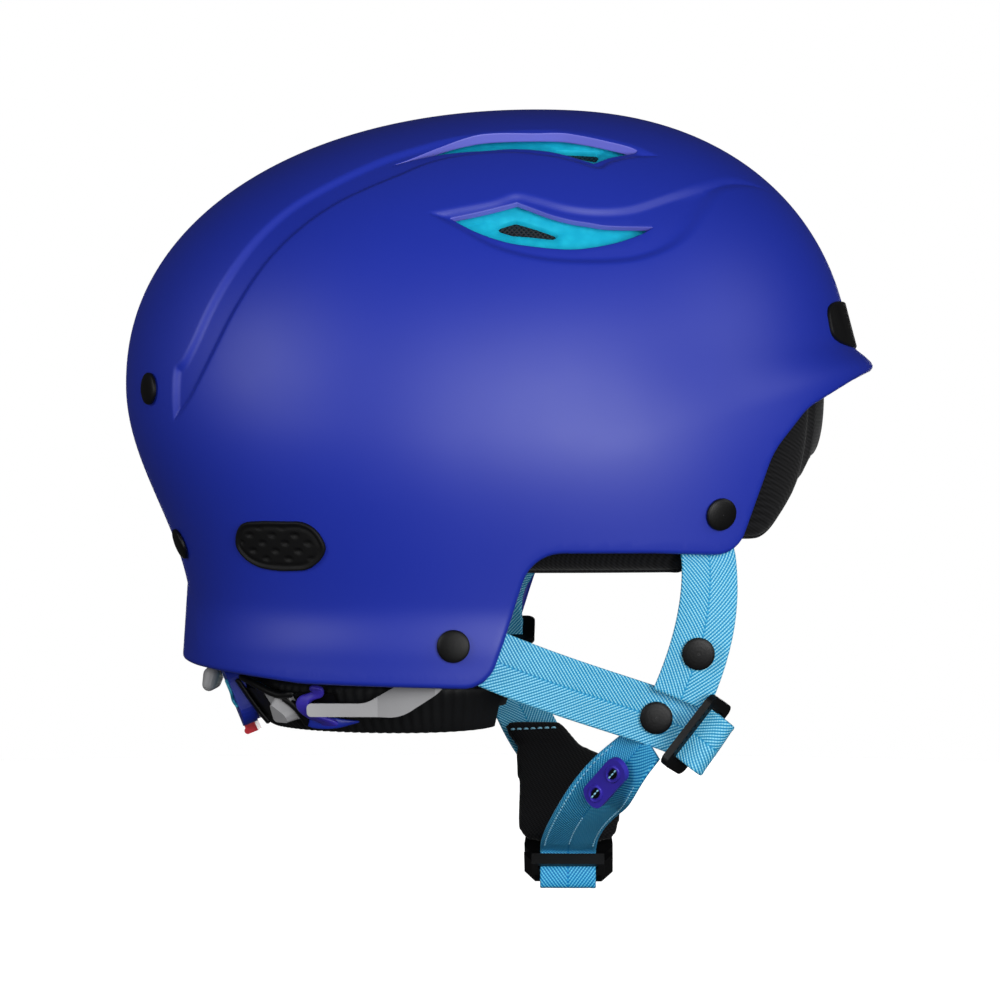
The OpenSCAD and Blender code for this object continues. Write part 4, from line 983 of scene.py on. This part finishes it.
def cushion(name, cols, mid, out, half_t, body=ROOT, replaces=(), channels=(), material="pad_fabric"):
    """Crowned closed pad; gives the line of its edge. cols is (steps across, steps up); mid(u, v) is its middle
    face, out(u, v) the direction through it and half_t(u, v) half its thickness, with u and v from -1 to 1.
    channels are sewn lines, each a function of (u, v) that gives the distance from it in mm."""
    nu, nv = cols
    # Places crowd at the edges, so that the section stays round there
    us, vs = (np.sin(np.linspace(-1, 1, k + 1) * pi / 2) for k in cols)
    uu, vv = np.meshgrid(us, vs, indexing="ij")
    m, n = mid(uu, vv), unit(out(uu, vv))
    edge = (np.maximum(0, 1 - uu ** 4) * np.maximum(0, 1 - vv ** 4)) ** 0.42
    t = half_t(uu, vv) * edge
    for c in channels:
        t = t - np.minimum(t * 0.75, 1.3) * np.exp(-(c(uu, vv) / 1.5) ** 2)
    off = n * t[..., None]
    k = (nu + 1) * (nv + 1)
    idx = np.arange(k).reshape(nu + 1, nv + 1)
    faces = []
    for i in range(nu):
        for j in range(nv):
            q = (idx[i, j], idx[i + 1, j], idx[i + 1, j + 1], idx[i, j + 1])
            faces += [q, tuple(k + a for a in q[::-1])]
    ob = mesh(name, np.vstack([(m + off).reshape(-1, 3), (m - off).reshape(-1, 3)]), faces, material, body,
              replaces, weld=WELD)
    return np.vstack([m[:-1, 0], m[-1, :-1], m[:0:-1, -1], m[0, :0:-1]])


def layer_pad(name, node, phis, low, high, back, cols, channels=()):
    """Pad from the inset back to the pads' inner face, between the heights low and high."""
    a, b = phis

    def faces(u, v):
        p = (a + b) / 2 + u * (b - a) / 2
        lo = low(p)
        z = (lo + high) / 2 + v * (high - lo) / 2
        return layer_point(z, p, back(z, p)), layer_point(z, p, PAD_IN + PAD_T)

    def through(u, v):
        return np.subtract(*faces(u, v))

    return cushion(name, cols, lambda u, v: np.add(*faces(u, v)) / 2, through,
                   lambda u, v: np.linalg.norm(through(u, v), axis=-1) / 2, replaces=(node,), channels=channels)


def brow_edge(p):
    return 2 - 27.5 * ease((np.abs(p) - 7) / 26)


def brow_back(z, p):
    return np.minimum(PAD_IN, 10.0 + (PAD_IN - 10.0) * ease((z - brow_low(p) - 22) / 14)
                      + flare(z, np.cos(np.radians(p))))


piped = [
    ("brow_piping", layer_pad("brow_cushion", "brow_pad", (-51, 51), brow_edge, 50, brow_back, (96, 40), [
        lambda u, v: np.abs(v - 0.25) * 34 + 40 * (np.abs(u) > 0.86),
        lambda u, v: np.abs(np.abs(u) - 0.36) * 80])),
    ("side_piping_left", layer_pad("side_cushion_left", "side_pad_left", (53, 119), side_low, 8, side_in,
                                   (56, 26))),
    ("side_piping_right", layer_pad("side_cushion_right", "side_pad_right", (-119, -53), side_low, 8, side_in,
                                    (56, 26))),
    ("rear_piping", layer_pad("rear_cushion", "rear_pad", (150, 210), lambda p: -14, 46, lambda z, p: PAD_IN,
                              (44, 34), [lambda u, v: np.abs(np.abs(u) - 0.4) * 50]))]
for name, line in piped:
    tube(name, resample(line, 4, True), PIPING_R, "pad_fabric", True)


def from_node(name, node, material, body, voxel, puff, smooth):
    """Soft piece from a CAD solid: remeshed evenly, its edges rounded and its faces swelled by puff mm."""
    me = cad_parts[node].data.copy()
    ob = add(name, me)
    me.materials.clear()
    me.materials.append(mat[material])
    add_modifier(ob, "REMESH", mode="VOXEL", voxel_size=voxel / 1000)
    add_modifier(ob, "SMOOTH", factor=0.5, iterations=smooth)
    add_modifier(ob, "DISPLACE", strength=puff / 1000, mid_level=0.0)
    add_modifier(ob, "SUBSURF", levels=1, render_levels=1)
    bpy.context.view_layer.update()
    ob.data = bpy.data.meshes.new_from_object(ob.evaluated_get(bpy.context.evaluated_depsgraph_get()))
    ob.modifiers.clear()
    bpy.data.meshes.remove(me)
    ob.data.name = name
    ob.data.polygons.foreach_set("use_smooth", [True] * len(ob.data.polygons))
    if body:
        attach(ob, body)
    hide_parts(node)
    return ob


guard = from_node("chin_cushion", "chin_guard", "pad_fabric", ROOT, 1.3, 0.7, 6)
from_node("crown_cushion", "crown_pad", "pad_fabric", ROOT, 1.8, 0.9, 6)

# Sewn edges and middle of the near chin strap, and the guard's sewn hem
toward = np.sign(np.sum(chin_n * (EYE - chin_p), 1))[:, None]
runs = []
for across, start, end in ((-8.6, 0.12, 0.8), (8.6, 0.12, 0.8), (0.0, 0.5, 0.78)):
    part = slice(int(len(chin_p) * start), int(len(chin_p) * end))
    runs.append(((chin_p + chin_w * across + chin_n * toward * 0.78)[part], (chin_n * toward)[part]))
seam = stitches("chin_strap_sewing", runs, 1.5, 0.8, 0.26, 0.16, "webbing", None)
hem = [seen_on(guard, x, 729.5 - (x - 510) * 0.04) for x in np.linspace(510, 557, 14)]
hem = [h for h in hem if h]
stitches("guard_hem_sewing", [([h[0] for h in hem], [h[1] for h in hem])], 1.7, 0.7, 0.42, 0.3)

# Ribbed rubber pad of the nape cradle
NECK_Y, NAPE_Z, NAPE_H, NAPE_T, BAND_R, PAD_END = 15.0, -84.0, 17.0, 7.0, 68.0, 109.0
LEAN_TURN, RIB_PITCH, RIB_HIGH = rad(35), 3.1, 0.42
LEAN = tan(LEAN_TURN)


def nape_edge(u):
    return np.sqrt(np.maximum(0, 1 - np.abs(u) ** 6))


def nape_mid(u, v):
    a, edge = np.radians(-u * PAD_END), nape_edge(u)
    z = NAPE_Z + v * (NAPE_H * (0.72 + 0.28 * edge) / 2)
    r = BAND_R - 0.3 - NAPE_T * 0.5 * (0.5 + 0.5 * edge) + (z - NAPE_Z) * LEAN
    return np.stack([-np.sin(a) * r, NECK_Y + np.cos(a) * r, z], -1)


def nape_out(u, v):
    a, level = np.radians(-u * PAD_END), np.cos(LEAN_TURN)
    return np.stack([-np.sin(a) * level, np.cos(a) * level, 0 * u - sin(LEAN_TURN)], -1)


def nape_half(u, v):
    edge = nape_edge(u)
    return NAPE_T / 2 * (0.5 + 0.5 * edge) + RIB_HIGH * np.cos(2 * pi * (u * PAD_END) / RIB_PITCH) * edge


cushion("nape_cushion", (420, 14), nape_mid, nape_out, nape_half, "cradle", ("nape_pad",),
        material="nape_rubber")


def round_neck(s, way):
    """Places on the cradle's leaning ring, on side s. Each is an angle off the rear centre, a height, and
    how far it is off the band."""
    out = []
    for a, z, off, *_ in way:
        r = BAND_R + 2.2 + off + (z - NAPE_Z) * LEAN
        out.append(np.array([s * sin(rad(a)) * r, NECK_Y + cos(rad(a)) * r, z]))
    return out


def round_dir(s, a):
    return np.array([s * cos(rad(a)), -sin(rad(a)), 0])


SIDES = ((-1, "right"), (1, "left"))
HOOK = [(57.5, -76.8, 0.4, 2.6), (57.0, -79.0, 1.0, 3.2), (53.8, -81.4, 3.0, 3.5), (53.2, -84.0, 4.4, 3.6),
        (54.5, -86.6, 4.2, 3.4), (57.0, -88.8, 2.2, 3.8), (57.5, -90.6, 1.0, 4.6)]
FOOT = [(48, -89.8, 0.9, 0.8), (51, -89.6, 1.2, 1.9), (57, -89.4, 1.3, 2.1), (62, -89.2, 1.2, 1.4),
        (67, -88.6, 0.9, 0.4)]
YOKE = [(27, -74.6, 1.2), (33, -76.2, 1.8), (39, -78.6, 2.4), (44.5, -80.2, 2.6), (49.5, -79.2, 1.6)]
STRIP = [(21, -76.5, 0.9), (21.6, -82, 1.1), (22.4, -87, 1.1), (23.4, -91.2, 0.8)]
LEG = [(44.5, -80.2, 2.4), (47.4, -83.5, 2.0), (48.6, -87, 1.8), (48.4, -91.0, 1.2)]
# The clips are blue plastic; their hooks' violet colour is a painted highlight.
for s, side in SIDES:
    blade("clip_hook_" + side, round_neck(s, HOOK), [round_dir(s, w[0]) * w[3] for w in HOOK], 2.0,
          "violet_plastic", body="cradle", replaces=("clip_" + side,), slot="blue_plastic")
    blade("clip_foot_" + side, round_neck(s, FOOT), [[0, 0, w[3]] for w in FOOT], 1.5, "blue_plastic",
          body="cradle")

# Black frame over the nape pad, and the wavy accent on the housing's near edge
for s, side in SIDES:
    tube("cradle_yoke_" + side, round_neck(s, YOKE), 1.3, "black_plastic", body="cradle")
    blade("cradle_strip_" + side, round_neck(s, STRIP), [round_dir(s, 22) * 1.9] * 4, 1.6, "black_plastic",
          body="cradle")
    tube("cradle_leg_" + side, round_neck(s, LEG), 1.4, "black_plastic", body="cradle")
wave = [seen_on(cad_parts["cradle_housing"], x, y)
        for x, y in ((227, 680), (228, 687), (232, 692), (234, 700), (238, 706))]
wave = [h for h in wave if h]
if len(wave) > 2:
    blade("housing_accent", [h[0] + h[1] * 0.35 for h in wave],
          [np.cross(h[1], [0, 0.35, 0.94]) * 1.1 for h in wave], 1.0, "accent_plastic", body="cradle")

# Eyelets of the strap keeper, dark and lens-shaped, with a thread across each
verts = np.array([v.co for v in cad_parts["strap_keeper"].data.vertices]) * 1000
centre = verts.mean(0)
long_way, wide_way, thin_way = np.linalg.svd(verts - centre, full_matrices=False)[2]
if thin_way @ BACK < 0:
    thin_way = -thin_way
runs = []
for k, s in enumerate((-1, 1)):
    c = centre + long_way * 7 * s + thin_way * 0.75
    blade("keeper_eyelet_%d" % k, [c + long_way * x for x in (-3.0, -1.5, 0, 1.5, 3.0)],
          [wide_way * h for h in (0.25, 1.45, 1.9, 1.45, 0.25)], 0.9, "black_plastic", 2.0)
    rim = [c + thin_way * 0.3 + long_way * 3.6 * cos(a) + wide_way * 2.3 * sin(a)
           for a in np.linspace(0, 2 * pi, 16, endpoint=False)]
    tube("keeper_rim_%d" % k, rim, 0.55, "violet_plastic", True)
    runs.append(([c + thin_way * 0.55 + long_way * x for x in np.linspace(-3.2, 3.2, 6)], [thin_way] * 6))
stitches("keeper_thread", runs, 1.3, 0.6, 0.3, 0.2)

# Strips that hang the cradle from the shell
strips = from_node("cradle_strips", "suspension_strips", "black_plastic", None, 0.8, 0.0, 2)
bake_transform(strips)
for piece in (chin, seam):
    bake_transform(piece)


# ------------ bumpers and vent screens on the shell
DIMPLE_PITCH, BUMPER_IN, BUMPER_SPACING = 8.0, 0.6, 0.55
SCREEN_OUT, SCREEN_IN, SCREEN_SPACING = 8.4, 9.1, 1.5


def dimples(y, z, y0, z0, shift):
    """Depth of a lattice of oval dimples in a side view, each row shifted from the last."""
    best = np.full(y.shape, 9.0)
    for j in range(-8, 9):
        for i in range(-9, 10):
            dy, dz = (y - y0 - DIMPLE_PITCH * i - shift * j) / 1.75, (z - z0 - 2.65 * j) / 1.05
            best = np.minimum(best, dy * dy + dz * dz)
    return np.clip(1 - best, 0, 1) ** 1.2


def bumper(name, node, places, axis, y0, z0, shift):
    """Rubber piece on the shell's face within an outline of unrolled places, with a raised rim and dimples."""
    ring = skin_point(places[:, 0], places[:, 1])

    def top(p):
        d, _ = line_distance(p, ring)
        return -(0.45 + 0.75 * (1 - ease((d - 0.9) / 0.9)) * ease(d / 0.3) + 0.42 * ease((d - 1.3) / 2.2)
                 - 0.75 * dimples(p[:, axis], p[:, 2], y0, z0, shift) * ease((d - 1.9) / 0.9))

    skin(name, [(places, 0.45, 2.0, False)], face(top), face(BUMPER_IN), BUMPER_SPACING, "bumper_rubber",
         lip_steps=6, replaces=(node,))


side_bumper = smooth_path([
    [81.4, -28.6], [81.1, -23.6], [78.6, -20.6], [72.1, -19.9], [64.3, -19.9], [57.9, -20.1], [53.3, -22.5],
    [50.3, -27.1], [50.3, -30.4], [52.6, -33.6], [56.6, -36.0], [62, -36.5], [66.8, -36.5], [72.9, -35.6],
    [78.0, -33.0]], 6, True)
for s, side in SIDES:
    bumper("side_bumper_rubber_" + side, "side_bumper_" + side, side_loop(side_bumper, s, 0.7), 1, 76.3, -24.4,
           4.55)
t = np.linspace(0, 2 * pi, 160, endpoint=False)
q = np.sign(np.cos(t)) * np.abs(np.cos(t)) ** 0.45, np.sign(np.sin(t)) * np.abs(np.sin(t)) ** 0.6
FRONT_Z, FRONT_HALF, FRONT_ARC = 48, 8.1, 21.4
rho = RHO * np.arccos((FRONT_Z + FRONT_HALF * q[1] - SIDE_EQ) / (CROWN - SIDE_EQ))
phi = np.radians(FRONT_ARC * q[0])
bumper("front_bumper_rubber", "front_bumper",
       resample(np.column_stack([rho * np.sin(phi), -rho * np.cos(phi)]), 0.7, True), 0, 0.0, FRONT_Z, 4.0)

for s, side in SIDES:
    for window, part in ((UPPER_WINDOW, "upper"), (LOWER_WINDOW, "lower")):
        skin("vent_screen_%s_%s" % (part, side), [(side_loop(grown(window, 1.3), s, 1.0), 0.2, 2.0, False)],
             face(SCREEN_OUT), face(SCREEN_IN), SCREEN_SPACING, "mesh", lip_steps=3)

# ------------ CAD pieces that stay, with rounded edges
ROUND_SMALL, ROUND_LARGE, SHARP_FROM = 0.0004, 0.0009, rad(38)
LEFT_SHARP = ("vent_mesh", "strap_keeper")
ROUNDEST = ("buckle_plug", "buckle_socket", "slider_right", "slider_left", "arm_right", "arm_left")
for name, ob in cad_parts.items():
    for s in ob.material_slots:
        key = (s.material.name if s.material else "").split(".")[0]
        if key in mat:
            s.material = mat[key]
    if not ob.hide_render and name not in LEFT_SHARP:
        add_modifier(ob, "BEVEL", width=ROUND_LARGE if name in ROUNDEST else ROUND_SMALL, segments=3,
                     limit_method="ANGLE", angle_limit=SHARP_FROM)

# ------------ floor, lamps and world
FLOOR_Z, FLOOR_R, FLOOR_SIDES = -176.0, 900, 96
GLOSSY_SHARE = 0.02      # how much of the pale background glossy rays see
FLOOR_GLOW, FLOOR_DARK, FLOOR_PALE, SOFT_FILL = 0.9, 0.1, 0.86, 0.025


def seen_share(g):
    """1 for camera and transmission rays, GLOSSY_SHARE for glossy ones, else 0."""
    rays = g.node("ShaderNodeLightPath").outputs
    direct = g.math("MAXIMUM", rays["Is Camera Ray"], rays["Is Transmission Ray"])
    return g.math("MAXIMUM", direct, g.math("MULTIPLY", rays["Is Glossy Ray"], GLOSSY_SHARE))


turns = 2 * pi * np.arange(FLOOR_SIDES) / FLOOR_SIDES
verts = [[0, 0, FLOOR_Z]] + [[FLOOR_R * cos(a), FLOOR_R * sin(a), FLOOR_Z] for a in turns]
me = bpy.data.meshes.new("floor")
me.from_pydata((np.array(verts) / 1000).tolist(), [],
               [(0, k + 1, (k + 1) % FLOOR_SIDES + 1) for k in range(FLOOR_SIDES)])
floor = add("floor", me)
g = Graph(new_material("floor", (1, 1, 1), 0.9, 0.1))
from_camera = g.node("ShaderNodeLightPath").outputs["Is Camera Ray"]
g.set("Base Color", g.spread(from_camera, 0, 1, FLOOR_DARK, FLOOR_PALE))
glow = g.node("ShaderNodeEmission", {"Strength": g.math("MULTIPLY", seen_share(g), FLOOR_GLOW)})
both = g.node("ShaderNodeAddShader", [g.bsdf.outputs[0], glow.outputs[0]])
g.t.links.new(both.outputs[0], g.t.nodes["Material Output"].inputs["Surface"])
me.materials.append(mat["floor"])

world = bpy.data.worlds.new("world")
bpy.context.scene.world = world
world.use_nodes = True
g = Graph(world)
backdrop = g.t.nodes["Background"]
backdrop.inputs["Color"].default_value = (1, 1, 1, 1)
g.t.links.new(g.spread(seen_share(g), 0, 1, SOFT_FILL, 1.0), backdrop.inputs["Strength"])

# Lamps round the helmet: turn in degrees from the camera's side towards the rear, rise in degrees
LAMP_FAR, LOOK_AT = 1.3, Vector((0, 0, -0.02))
for name, turn, rise, size, size_y, power in (
        ("key", -13, 3, 0.8, 0.8, 10.6), ("low", -30, -3, 0.45, 0.45, 4.4),
        ("rear", 54, 14, 0.7, 0.6, 5.4), ("front", -67, 21, 0.6, 0.6, 3.0),
        ("far_side", 180, -4, 0.9, 0.6, 6.0), ("top", 90, 90, 1.2, 1.2, 0.5)):
    data = bpy.data.lights.new(name, "AREA")
    data.shape, data.size, data.size_y, data.energy = "RECTANGLE", size, size_y, power
    ob = add(name, data)
    a, e = rad(turn), rad(rise)
    ob.location = LAMP_FAR * Vector((-cos(e) * cos(a), cos(e) * sin(a), sin(e)))
    ob.rotation_euler = (LOOK_AT - ob.location).to_track_quat("-Z", "Y").to_euler()

bpy.context.scene.view_settings.view_transform = "Standard"
